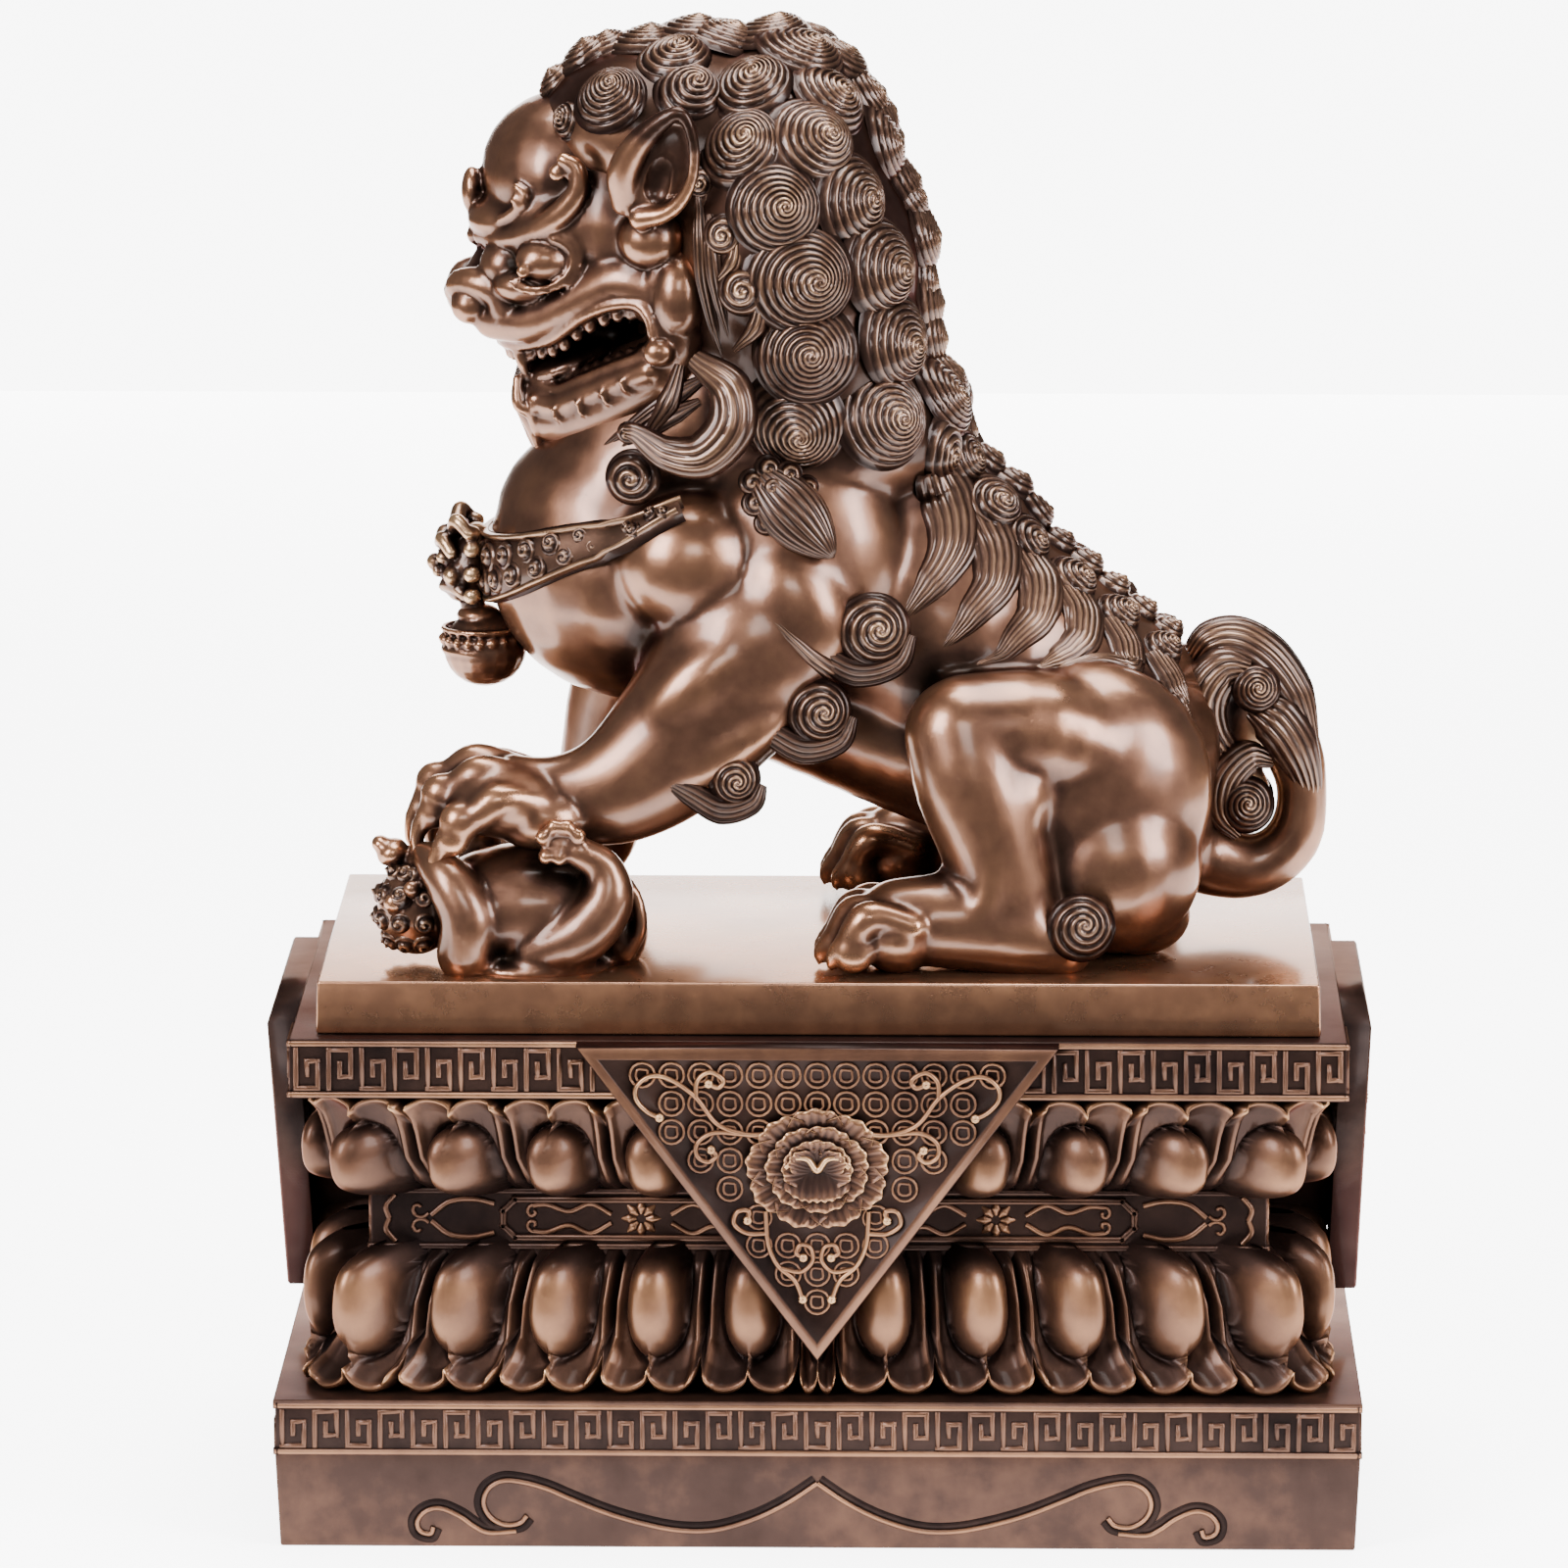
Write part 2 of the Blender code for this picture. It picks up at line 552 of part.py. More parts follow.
lion = guardian_lion()
pedestal = lotus_pedestal()
lion.data.materials.clear()
lion.data.materials.append(bronze("polished_bronze", (0.27, 0.14, 0.09), 0.3))
pedestal.data.materials.clear()
pedestal.data.materials.append(bronze("patinated_bronze", (0.16, 0.10, 0.08), 0.42))
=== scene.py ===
import math

import bmesh
import bpy
import numpy as np
from mathutils import Euler, Matrix, Vector
from mathutils.bvhtree import BVHTree


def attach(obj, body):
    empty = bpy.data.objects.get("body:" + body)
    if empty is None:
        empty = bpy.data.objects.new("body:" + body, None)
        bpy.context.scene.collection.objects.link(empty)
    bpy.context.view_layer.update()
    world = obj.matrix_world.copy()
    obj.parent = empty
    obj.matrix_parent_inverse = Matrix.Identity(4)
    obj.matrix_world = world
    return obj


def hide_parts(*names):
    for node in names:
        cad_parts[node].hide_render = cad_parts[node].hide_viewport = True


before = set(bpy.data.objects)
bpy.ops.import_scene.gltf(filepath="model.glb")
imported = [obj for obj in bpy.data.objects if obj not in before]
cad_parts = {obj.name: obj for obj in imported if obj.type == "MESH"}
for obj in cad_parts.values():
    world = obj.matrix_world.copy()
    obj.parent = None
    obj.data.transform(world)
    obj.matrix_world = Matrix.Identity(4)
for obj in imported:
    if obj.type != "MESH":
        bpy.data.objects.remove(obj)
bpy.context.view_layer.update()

# The bronze: brown lacquered metal, darker in the hollows and rubbed redder on the high places, with painted shade in
# sheltered places, under the mane and in the ears.
# A piece carries its wear and painted shade, from 0 in a hollow or shaded place to 1 on a ridge, as an attribute of its
# corners.


class Value:
    """A number in a shader. Sums and products of values add the maths nodes."""

    def __init__(self, tree, socket):
        self.tree = tree
        self.socket = socket

    def maths(self, operation, *others):
        node = self.tree.nodes.new("ShaderNodeMath")
        node.operation = operation
        for entry, other in zip(node.inputs, (self, *others)):
            if isinstance(other, Value):
                self.tree.links.new(other.socket, entry)
            else:
                entry.default_value = other
        return Value(self.tree, node.outputs[0])

    def __add__(self, other):
        return self.maths("ADD", other)

    def __sub__(self, other):
        return self.maths("SUBTRACT", other)

    def __mul__(self, other):
        return self.maths("MULTIPLY", other)

    def __rsub__(self, other):
        return (self * -1.0) + other

    __radd__ = __add__
    __rmul__ = __mul__

    def clamped(self, low=0.0, high=1.0):
        return self.maths("MAXIMUM", low).maths("MINIMUM", high)


class Surface:
    """A material, with one method that adds a node from its type, settings and socket values."""

    def __init__(self, name):
        self.material = bpy.data.materials.new(name)
        self.material.use_nodes = True
        self.tree = self.material.node_tree
        self.shader = self.tree.nodes["Principled BSDF"]

    def node(self, kind, settings, **sockets):
        node = self.tree.nodes.new(kind)
        for key, value in settings.items():
            setattr(node, key, value)
        for key, value in sockets.items():
            entry = node.inputs[key.replace("_", " ")]
            if isinstance(value, Value):
                self.tree.links.new(value.socket, entry)
            else:
                entry.default_value = value
        return node

    def noise(self, scale, detail=3.0, roughness=0.55):
        place = Value(self.tree, self.node("ShaderNodeTexCoord", {}).outputs["Object"])
        node = self.node("ShaderNodeTexNoise", {}, Vector=place, Scale=scale, Detail=detail, Roughness=roughness)
        return Value(self.tree, node.outputs["Fac"])

    def ramp(self, value, stops):
        node = self.node("ShaderNodeValToRGB", {}, Fac=value)
        while len(node.color_ramp.elements) < len(stops):
            node.color_ramp.elements.new(0.5)
        for element, (place, colour) in zip(node.color_ramp.elements, stops):
            element.position = place
            element.color = (*colour, 1.0)
        return Value(self.tree, node.outputs["Color"])

    def link(self, value, entry):
        self.tree.links.new(value.socket, self.shader.inputs[entry])


def bronze(name, stops, rough_low, rough_high, coat, pits):
    """Patinated bronze under clear lacquer, with stops of colour from the hollows and painted shade to the ridges."""
    paint = Surface(name)
    # The attribute holds wear and painted shade together, and drives colour, roughness and coat.
    wear_and_shade = Value(paint.tree, paint.node("ShaderNodeAttribute", {"attribute_name": "wear_and_shade"}).outputs["Fac"])
    broad, fine, grain = paint.noise(22.0), paint.noise(130.0, 4.0), paint.noise(900.0, 5.0, 0.7)
    shade = (wear_and_shade + (broad - 0.5) * 0.55 + (fine - 0.5) * 0.22).clamped()
    paint.link(paint.ramp(shade, stops), "Base Color")
    paint.link((shade * (rough_low - rough_high) + rough_high + (fine - 0.5) * 0.16).clamped(0.05, 0.9), "Roughness")
    paint.shader.inputs["Metallic"].default_value = 0.9
    paint.shader.inputs["Specular Tint"].default_value = (0.62, 0.4, 0.29, 1.0)
    paint.link((shade * 1.6 + 0.1).clamped() * coat, "Coat Weight")
    paint.shader.inputs["Coat Roughness"].default_value = 0.17
    relief = (fine * 0.35 + grain * 0.35 + (grain - 0.62).clamped(0.0, 0.2) * -3.0)
    bump = paint.node("ShaderNodeBump", {}, Strength=pits, Distance=0.0006, Height=relief)
    paint.link(Value(paint.tree, bump.outputs["Normal"]), "Normal")
    return paint.material


POLISHED = bronze(
    "polished_bronze",
    ((0.0, (0.005, 0.003, 0.002)), (0.3, (0.034, 0.016, 0.011)), (0.55, (0.112, 0.053, 0.032)),
     (0.8, (0.21, 0.1, 0.055)), (1.0, (0.36, 0.175, 0.09))),
    0.25, 0.44, 0.5, 0.18)
HAIR = bronze(
    "hair_bronze",
    ((0.0, (0.004, 0.002, 0.002)), (0.35, (0.022, 0.011, 0.008)), (0.62, (0.08, 0.042, 0.027)),
     (0.85, (0.2, 0.112, 0.064)), (1.0, (0.42, 0.26, 0.145))),
    0.27, 0.5, 0.45, 0.3)


# The lioness's trunk, neck, legs and tail: balls of clay in rows, fused and softened in two rounds,
# so that the muscles melt together while the toes, tendons and claws stay crisp.

MM = 0.001
SIDES = (-1, 1)
FINE = 1.0


def spline(points, shares):
    """Places on a smooth curve through the points; each share runs from 0 to 1."""
    points = np.array(points, dtype=float)
    ends = np.vstack([2 * points[0] - points[1], points, 2 * points[-1] - points[-2]])
    place = np.clip(np.asarray(shares) * (len(points) - 1), 0, len(points) - 1 - 1e-6)
    i = place.astype(int)
    t = (place - i)[:, None]
    p0, p1, p2, p3 = ends[i], ends[i + 1], ends[i + 2], ends[i + 3]
    return 0.5 * (2 * p1 + (p2 - p0) * t + (2 * p0 - 5 * p1 + 4 * p2 - p3) * t**2 + (3 * p1 - p0 - 3 * p2 + p3) * t**3)


def lump(clay, centre, radii, turn=(0, 0, 0)):
    """A ball of clay, stretched to three radii and turned by degrees."""
    angles = Euler([math.radians(a) for a in turn]).to_matrix().to_4x4()
    clay.append(Matrix.Translation(Vector(centre) * MM) @ angles @ Matrix.Diagonal((*(r * MM for r in radii), 1.0)))


def limb(clay, stations, flat=1.0):
    """A tapering limb: balls along a smooth path of (x, y, z, radius), narrowed in Y by flat."""
    length = sum(math.dist(a[:3], b[:3]) for a, b in zip(stations, stations[1:]))
    steps = max(3, int(length / (0.4 * min(s[3] for s in stations))))
    for x, y, z, r in spline(stations, np.linspace(0, 1, steps + 1)):
        lump(clay, (x, y, z), (r, r * flat, r))


def moulded(name, clay, cores=()):
    """An object of all the balls of clay, each a matrix on the same ball, with the cores' meshes added."""
    ball = bmesh.new()
    bmesh.ops.create_uvsphere(ball, u_segments=20, v_segments=12, radius=1.0)
    points = np.array([(*v.co, 1.0) for v in ball.verts])
    sides = [[v.index for v in f.verts] for f in ball.faces]
    ball.free()
    corners = [tuple(c) for c in np.concatenate([points @ np.array(place).T for place in clay])[:, :3]]
    faces = [[i + n * len(points) for i in side] for n in range(len(clay)) for side in sides]
    for core in cores:
        faces += [[i + len(corners) for i in side.vertices] for side in core.polygons]
        corners += [tuple(v.co) for v in core.vertices]
    mesh = bpy.data.meshes.new(name)
    mesh.from_pydata(corners, [], faces)
    made = bpy.data.objects.new(name, mesh)
    bpy.context.scene.collection.objects.link(made)
    return made


def settle(made):
    """Applies an object's modifiers to its mesh."""
    bpy.context.view_layer.update()
    finished = bpy.data.meshes.new_from_object(made.evaluated_get(bpy.context.evaluated_depsgraph_get()))
    made.modifiers.clear()
    made.data = finished
    return made


def fused(made, voxel, smoothing):
    """Fuses overlapping shapes into one skin and softens the joins."""
    skin = made.modifiers.new("skin", "REMESH")
    skin.mode = "VOXEL"
    skin.voxel_size = voxel * FINE * MM
    soft = made.modifiers.new("soft", "SMOOTH")
    soft.factor = 0.5
    soft.iterations = smoothing
    return settle(made)


def carved(made, cutter):
    """Cuts one fused shape out of another."""
    cut = made.modifiers.new("cut", "BOOLEAN")
    cut.operation = "DIFFERENCE"
    cut.solver = "MANIFOLD"
    cut.object = cutter
    settle(made)
    bpy.data.objects.remove(cutter)
    return made


def skin_of(*objects):
    """A surface to drape hair on, from one or more objects."""
    corners, faces = [], []
    for made in objects:
        faces += [[i + len(corners) for i in side.vertices] for side in made.data.polygons]
        corners += [v.co.copy() for v in made.data.vertices]
    return BVHTree.FromPolygons(corners, faces)


def wear_and_shade_of(mesh, rounds=(6, 40), gain=(0.5, 0.25), base=0.5):
    """How proud each corner stands of its surroundings, near and far, as its wear, darkened as painted shade where the
    piece's own skin stands close in front of it.
    """
    count = len(mesh.vertices)
    places = np.empty(count * 3)
    mesh.vertices.foreach_get("co", places)
    places = places.reshape(-1, 3) / MM
    outward = np.empty(count * 3)
    mesh.vertex_normals.foreach_get("vector", outward)
    outward = outward.reshape(-1, 3)
    ends = np.empty(len(mesh.edges) * 2, dtype=int)
    mesh.edges.foreach_get("vertices", ends)
    a, b = ends.reshape(-1, 2).T
    near = np.bincount(np.concatenate([a, b]), minlength=count)[:, None]
    smooth = places.copy()
    wear_and_shade = np.full(count, base)
    done = 0
    for target, weight in zip(rounds, gain):
        while done < target:
            total = np.column_stack([np.bincount(a, smooth[b, k], count) + np.bincount(b, smooth[a, k], count)
                                     for k in range(3)])
            smooth = total / near
            done += 1
        wear_and_shade += weight * ((places - smooth) * outward).sum(axis=1)
    # Painted shade: corners with much of their own skin close in front, as in creases and under limbs, are darkened.
    shade = sheltered(places, outward)
    for _ in range(7):
        shade = (np.bincount(a, shade[b], count) + np.bincount(b, shade[a], count)) / near[:, 0]
    return np.clip(wear_and_shade, 0, 1) * (1 - 0.85 * np.clip((shade - 0.38) / 0.42, 0, 1))


def sheltered(places, outward, reach=8.0, cell=2.5, blur=5.0):
    """How much of a piece's own skin stands close in front of each of its corners: about a third on the flat."""
    low = places.min(axis=0) - 24
    shape = ((places.max(axis=0) + 24 - low) / cell).astype(int) + 1
    field = np.zeros(shape)
    np.add.at(field, tuple(((places - low) / cell).astype(int).T), 1.0)
    offsets = np.arange(-6, 7)
    weights = np.exp(-0.5 * (offsets * cell / blur) ** 2)
    for axis in range(3):
        field = sum(w * np.roll(field, k, axis=axis) for k, w in zip(offsets, weights))
    here = field[tuple(((places - low) / cell).astype(int).T)]
    ahead = field[tuple(((places + outward * reach - low) / cell).astype(int).T)]
    return ahead / here


def shown(made, node, material, wear_and_shade):
    """Dresses a finished object in its bronze and puts it in the CAD node's place."""
    made.data.attributes.new("wear_and_shade", "FLOAT", "POINT").data.foreach_set("value", np.asarray(wear_and_shade, dtype=float))
    if len(made.data.polygons) > 9000:
        made.modifiers.new("thin", "DECIMATE").ratio = 0.58
        settle(made)
    made.data.shade_smooth()
    made.data.materials.clear()
    made.data.materials.append(material)
    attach(made, "root")
    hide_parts(node)
    return made


def shade_under_hair(made, wear_and_shade):
    """Paints shade on the skin that the mane's curls stand on, setting it to one low value where the curls cover it."""
    places = np.empty(len(made.data.vertices) * 3)
    made.data.vertices.foreach_get("co", places)
    x, _, z = places.reshape(-1, 3).T / MM
    # Painted shade under the mane's curls, fading in over a few millimetres.
    curl_shade = np.maximum(np.minimum(x + 42, z - 352), z - 463 + 0.2 * (x + 60))
    curl_shade = np.clip(curl_shade / 5, 0, 1)
    return wear_and_shade * (1 - curl_shade) + 0.17 * curl_shade


def shade_in_hollows(made, wear_and_shade, hollows):
    """Paints shade on the skin inside hollows given as (x, y, z, reach), alike on both sides."""
    places = np.empty(len(made.data.vertices) * 3)
    made.data.vertices.foreach_get("co", places)
    places = places.reshape(-1, 3) / MM
    places[:, 1] = np.abs(places[:, 1])
    for x, y, z, reach in hollows:
        wear_and_shade = wear_and_shade * (1 - 0.85 * np.exp(-(np.linalg.norm(places - (x, y, z), axis=1) / reach) ** 4))
    return wear_and_shade


def toes(clay, x, middle, z, pitch=10.2):
    """Four knuckled toes with blunt claws along the front of a standing paw."""
    for i in range(4):
        y = middle + (i - 1.5) * pitch
        reach = 4.0 if i in (1, 2) else 0.0
        limb(clay, ((x + 18, y, z + 9.5, 5), (x + 9 - reach, y, z + 12.5, 5), (x + 3 - reach, y, z + 12, 6.2), (x - 1 - reach, y, z + 7, 5.6)))
        lump(clay, (x - 1.5 - reach, y, z + 1), (7.4, 5.6, 7.4))
        limb(clay, ((x - 6 - reach, y, z + 4, 2.6), (x - 9 - reach, y, z - 1, 2.2), (x - 9 - reach, y, z - 5, 1.2)))
    lump(clay, (x + 13, middle, z + 5), (15, 20, 14))


clay = []
lump(clay, (-62, 0, 316), (51, 50, 47))
lump(clay, (-62, 0, 342), (36, 42, 34))
limb(clay, ((-8, 0, 326, 48), (40, 0, 293, 48), (88, 0, 254, 48)))
lump(clay, (87, 0, 238), (47, 50, 53))
limb(clay, ((-12, 0, 402, 40), (-36, 0, 362, 44), (-52, 0, 348, 42)))
lump(clay, (-66, 0, 330), (44, 44, 36))
limb(clay, ((-30, 0, 278, 24), (-12, 0, 272, 25), (10, 0, 264, 26), (32, 0, 258, 29), (50, 0, 252, 30)), 1.35)
limb(clay, ((10, 0, 350, 30), (44, 0, 318, 32)))
for side in SIDES:
    lump(clay, (-8, side * 36, 322), (37, 25, 44))
    lump(clay, (-43, side * 46, 323), (25, 20, 23))
    lump(clay, (88, side * 42, 244), (43, 27, 46), (0, 20, 0))
    limb(clay, ((50, side * 58, 268, 20), (74, side * 54, 268, 20), (98, side * 46, 257, 20)))
    lump(clay, (98, side * 46, 222), (30, 27, 31))
    limb(clay, ((47, side * 61, 268, 19.5), (51, side * 64, 252, 20), (58, side * 65, 232, 18.5), (64, side * 66, 212, 15.5)), 0.9)
    lump(clay, (66, side * 67, 243), (10, 10, 18), (0, 14, 0))
    limb(clay, ((80, side * 66, 198, 12), (62, side * 66, 203, 15.5), (42, side * 67, 206, 16), (26, side * 67, 206, 14.5)))
    limb(clay, ((57, side * 76, 228, 6), (56, side * 78, 216, 5), (50, side * 77, 206, 5)))
    lump(clay, (71, side * 74, 203), (7, 6, 8))
lump(clay, (-16, 0, 429), (42, 61.5, 64))
lump(clay, (-44, 0, 456), (36, 46, 37))
lump(clay, (-74, 0, 467), (20, 30, 15))
lump(clay, (-9, 0, 415), (43, 60.5, 50))
lump(clay, (-62, 0, 464), (31, 42, 26))
lump(clay, (-2, 0, 390), (38, 60, 46))
lump(clay, (2, 0, 362), (44, 56, 34))
limb(clay, ((-22, -46, 294, 31), (-46, -52, 265, 25), (-66, -56, 249, 19.5), (-86, -57, 245, 15), (-102, -56, 246, 14)), 0.78)
lump(clay, (-8, -54, 308), (19, 14, 26), (0, -25, 0))
lump(clay, (-40, -62, 284), (26, 11, 13), (0, -42, 0))
lump(clay, (-34, -60, 262), (30, 12, 11), (0, -32, 0))
limb(clay, ((-42, 42, 305, 29), (-65, 49, 268, 21), (-75, 51, 236, 16), (-78, 51, 212, 14.5), (-90, 51, 203, 13.5),
            (-99, 51, 201, 12)))
limb(clay, ((112, 0, 226, 17), (134, 0, 213, 12.5), (149, 0, 212.5, 10.5), (159.5, 0, 222, 9.8), (162, 0, 238, 9),
            (158.5, 0, 252, 10.5), (151, 0, 265, 12)))
flesh = fused(moulded("flesh", clay), 2.2, 9)
clay = []
toes(clay, -104, 51, 198)
for side in SIDES:
    toes(clay, 13, side * 66, 197.5)
    lump(clay, (106, side * 36, 202), (18, 22, 13))
lump(clay, (-104, -57, 245), (23, 21, 13))
lump(clay, (-92, -58, 240), (18, 18, 12))
for x, y, z in ((-115, -74, 240), (-121.5, -62, 247), (-124, -49, 248.5), (-118, -37, 245)):
    limb(clay, ((x + 26, y * 0.82 - 8, z + 5, 4), (x + 17, y * 0.92 - 4, z + 7.5, 4.8), (x + 9, y, z + 7.5, 6.2), (x + 3, y, z + 3.5, 6)))
    lump(clay, (x - 3.5, y, z + 0.5), (7.4, 6.2, 7.2))
    lump(clay, (x - 6, y, z - 5.5), (6, 5.6, 6))
    limb(clay, ((x - 9, y, z - 6, 3.4), (x - 11.5, y, z - 12, 3), (x - 12, y, z - 19, 2.4), (x - 9, y, z - 26, 1.3)))
body = fused(moulded("lion_body", clay, [flesh.data]), 1.5, 4)
bpy.data.objects.remove(flesh)
# The body's wear, with painted shade in sheltered places and under the mane.
shown(body, "guardian_lion", POLISHED, shade_under_hair(body, wear_and_shade_of(body.data, (6, 40), (0.4, 0.05), 0.52)))
body_skin = skin_of(body)


# The head: skull, snout and jaws softened first and the mouth cut out of them,
# then brows, lids, lips, nose, teeth and the cupped ears laid on more finely.

clay = []
lump(clay, (-62, 0, 434), (39, 40, 36))
lump(clay, (-84, 0, 448), (30, 31, 27))
lump(clay, (-104, 0, 432), (15, 22, 9))
limb(clay, ((-100, 0, 422, 13), (-108, 0, 411, 12)))
lump(clay, (-90, 0, 403), (24, 24, 12), (0, -18, 0))
lump(clay, (-80, 0, 366), (19, 19, 8), (0, -22, 0))
limb(clay, ((-80, 0, 368, 9), (-60, 0, 376, 17), (-40, 0, 384, 28)), 1.15)
for side in SIDES:
    lump(clay, (-83, side * 17, 430), (23, 18, 20))
    limb(clay, ((-109, side * 12, 399.5, 7.5), (-96, side * 20, 400, 8), (-82, side * 27, 407, 8), (-66, side * 33, 415, 9), (-52, side * 36, 412, 10)))
    lump(clay, (-50, side * 36, 402), (12, 11, 20))
    limb(clay, ((-95, side * 5, 367, 7), (-88, side * 12, 365, 8), (-77, side * 20, 369, 9), (-65, side * 27, 376, 9.5), (-53, side * 33, 384, 10)))
    lump(clay, (-57, side * 38, 430), (10, 7.5, 10))
skull = fused(moulded("skull", clay), 1.7, 5)
clay = []
for x, z, r in ((-113, 383, 5.5), (-104, 384, 6), (-96, 385, 6.5)):
    lump(clay, (x, 0, z), (r * 1.2, 50, r))
for side in SIDES:
    for x, z, r in ((-94, 385.5, 7), (-86, 389, 7.5), (-77, 393.5, 7.5), (-69, 397.5, 7.5), (-62.5, 399, 6)):
        lump(clay, (x, side * 32, z), (r * 1.15, 24, r))
    lump(clay, (-93, side * 40, 421.5), (11, 8, 8.6))
carved(skull, fused(moulded("mouth", clay), 1.3, 2))
clay = []
lump(clay, (-117, 0, 441), (3.6, 6, 8))
lump(clay, (-115.5, 0, 426), (3.4, 5, 3.6))
lump(clay, (-118, 0, 406), (8, 12, 8))
lump(clay, (-85, 0, 384), (17, 21, 5), (0, -22, 0))
lump(clay, (-76, 0, 389), (24, 7, 13))
lip_top = ((-107, 4, 391), (-104, 12, 391), (-97, 19, 392), (-89, 26, 395), (-80, 32.5, 402.5), (-70, 38, 407.5), (-61, 41.5, 408.5), (-56.5, 44, 404.5), (-55, 45, 399))
lip_low = ((-100, 4, 379.5), (-97, 11, 378.5), (-88, 19.5, 376.5), (-79, 26.5, 381), (-68, 33.5, 386.5), (-57, 40, 391.5))
for side in SIDES:
    limb(clay, [(x, side * y, z, 2.2) for x, y, z in lip_top])
    limb(clay, [(x, side * y, z, 2.1) for x, y, z in lip_low])
    limb(clay, [(x + 0.5, side * (y - 0.5), z - 5.5, 4.6) for x, y, z in lip_low])
    for x, y, z in spline(lip_top, np.linspace(0.05, 0.87, 15)):
        lump(clay, (x + 2, side * (y - 3.6), z - 3.4), (2.2, 2.1, 3.2))
    for x, y, z in spline(lip_low, np.linspace(0.05, 0.92, 14)):
        lump(clay, (x + 2, side * (y - 3.2), z + 2.4), (2.2, 2.1, 3))
    limb(clay, ((-101, side * 13, 391, 2.6), (-100, side * 13.5, 385, 2), (-98, side * 13, 380, 1)))
    lump(clay, (-53.5, side * 46, 393), (5, 3.6, 4.6))
    for share in (0.12, 0.36, 0.6, 0.84):
        x, y, z = spline(lip_low, [share])[0]
        lump(clay, (x + 3, side * (y + 2), z - 7), (3.2, 2.4, 3))
        lump(clay, (x + 5, side * (y - 0.5), z - 12.5), (3.4, 2.6, 2.6))
    for y, low in ((3, 353), (8, 356), (13, 361)):
        limb(clay, ((-101.5, side * y, 379, 1.8), (-101, side * (y + 1), 371, 2.5), (-97, side * (y + 1), low + 7, 2.5), (-95, side * y, low, 1.5)))
    limb(clay, ((-92, side * 4, 360, 4), (-91.5, side * 6, 353, 4.6)))
    limb(clay, ((-113, side * 7, 426.5, 3.4), (-107, side * 16, 427, 4), (-98, side * 26, 429.5, 4.4), (-88, side * 33, 436, 4.4),
                (-80.5, side * 36.5, 445, 3.8), (-80.5, side * 37, 453, 3), (-85, side * 36.5, 456, 2.4)))
    lump(clay, (-87, side * 35.5, 451.5), (3.1, 2.6, 3.1))
    limb(clay, ((-113, side * 12, 431, 1.5), (-106, side * 21, 434, 1.7), (-100, side * 27, 439, 1.8), (-98, side * 28, 443, 1.7), (-101, side * 27, 445.5, 1.5)))
    lump(clay, (-101, side * 27, 441.5), (2.2, 1.8, 2.2))
    lump(clay, (-92, side * 29.5, 421.5), (9.4, 7.2, 7))
    lump(clay, (-98.5, side * 35, 418.5), (2.3, 1.7, 2.5))
    for reach, thick in ((10.4, 0.95), (13, 0.7)):
        limb(clay, [(-92.5 + reach * math.cos(a), side * (34.5 - 2.4 * max(0, -math.cos(a))), 421 + 0.78 * reach * math.sin(a) + 1.4 * math.cos(a), thick)
                    for a in np.linspace(-2.6, 1.2, 12)])
    lump(clay, (-117, side * 12.5, 404), (6.8, 6.4, 6.6))
    limb(clay, ((-121.5, side * 5, 408, 5), (-119.5, side * 11, 411, 5.2), (-113.5, side * 15, 411.5, 5.6),
                (-107.5, side * 16.5, 409, 6), (-104.5, side * 17, 403.5, 6.4)))
    lump(clay, (-104, side * 15, 418), (10, 9.5, 9))
    lump(clay, (-98, side * 22, 412), (11, 9, 6))
    lump(clay, (-56, side * 40, 430), (11, 9.5, 10))
    lump(clay, (-47, side * 41, 411), (9.5, 10, 14.5))
    lump(clay, (-53, side * 42, 417), (5, 4, 8), (0, 30, 0))
    limb(clay, [(x, side * y, z, r) for x, y, z, r in (
        (-64, 47, 444, 5.4), (-64.5, 52, 454, 5.6), (-59.5, 57, 464, 4.6), (-51, 62, 472.5, 3.2), (-45, 64, 474.5, 2.2), (-41.5, 63, 466, 2),
        (-41.5, 60, 455, 2), (-45, 57, 446, 2.4), (-51, 54, 440.5, 3), (-59, 50, 438.5, 4.2))])
    lump(clay, (-52, side * 50, 454), (11, 3.6, 17), (0, 20, 0))
    for x, z, r in ((-95, 372, 3.1), (-87.5, 369.5, 3), (-79, 372.5, 3), (-71, 377, 2.8), (-64, 381.5, 2.8)):
        x0, y0, z0 = x, np.interp(-x, (57, 68, 79, 88, 97, 100), (41, 35, 28, 21.5, 13, 6)) + 2, z - 1
        limb(clay, [(x0 + r * t * math.cos(a), side * (y0 - 0.28 * r * t * math.cos(a)), z0 + r * t * math.sin(a), 0.62)
                    for t, a in zip(np.linspace(1.1, 0.2, 10), np.linspace(2.6, 2.6 - 8.5, 10))])
head = fused(moulded("lion_head", clay, [skull.data]), 0.95, 2)
bpy.data.objects.remove(skull)
clay = []
for side in SIDES:
    limb(clay, ((-54, side * 56, 448, 5.4), (-52, side * 58.5, 456, 6.2), (-48.5, side * 63, 464, 4.6), (-46, side * 67, 470, 1.8)))
carved(head, fused(moulded("hollows", clay), 0.9, 1))


# Painted shade inside the ear hollows, on top of the head's wear and sheltered shade.
head_wear_and_shade = shade_in_hollows(head, wear_and_shade_of(head.data, (8, 50), (0.4, 0.05), 0.5), ((-51, 58.5, 455, 6.5), (-47, 63, 464, 5)))
shown(head, "guardian_lion", POLISHED, shade_under_hair(head, head_wear_and_shade))
head_skin = skin_of(body, head)


# The mane: rings of domed snail-shell curls over the skull and nape, each leaning back from the face,
# with six ridges that wind in to a nub.

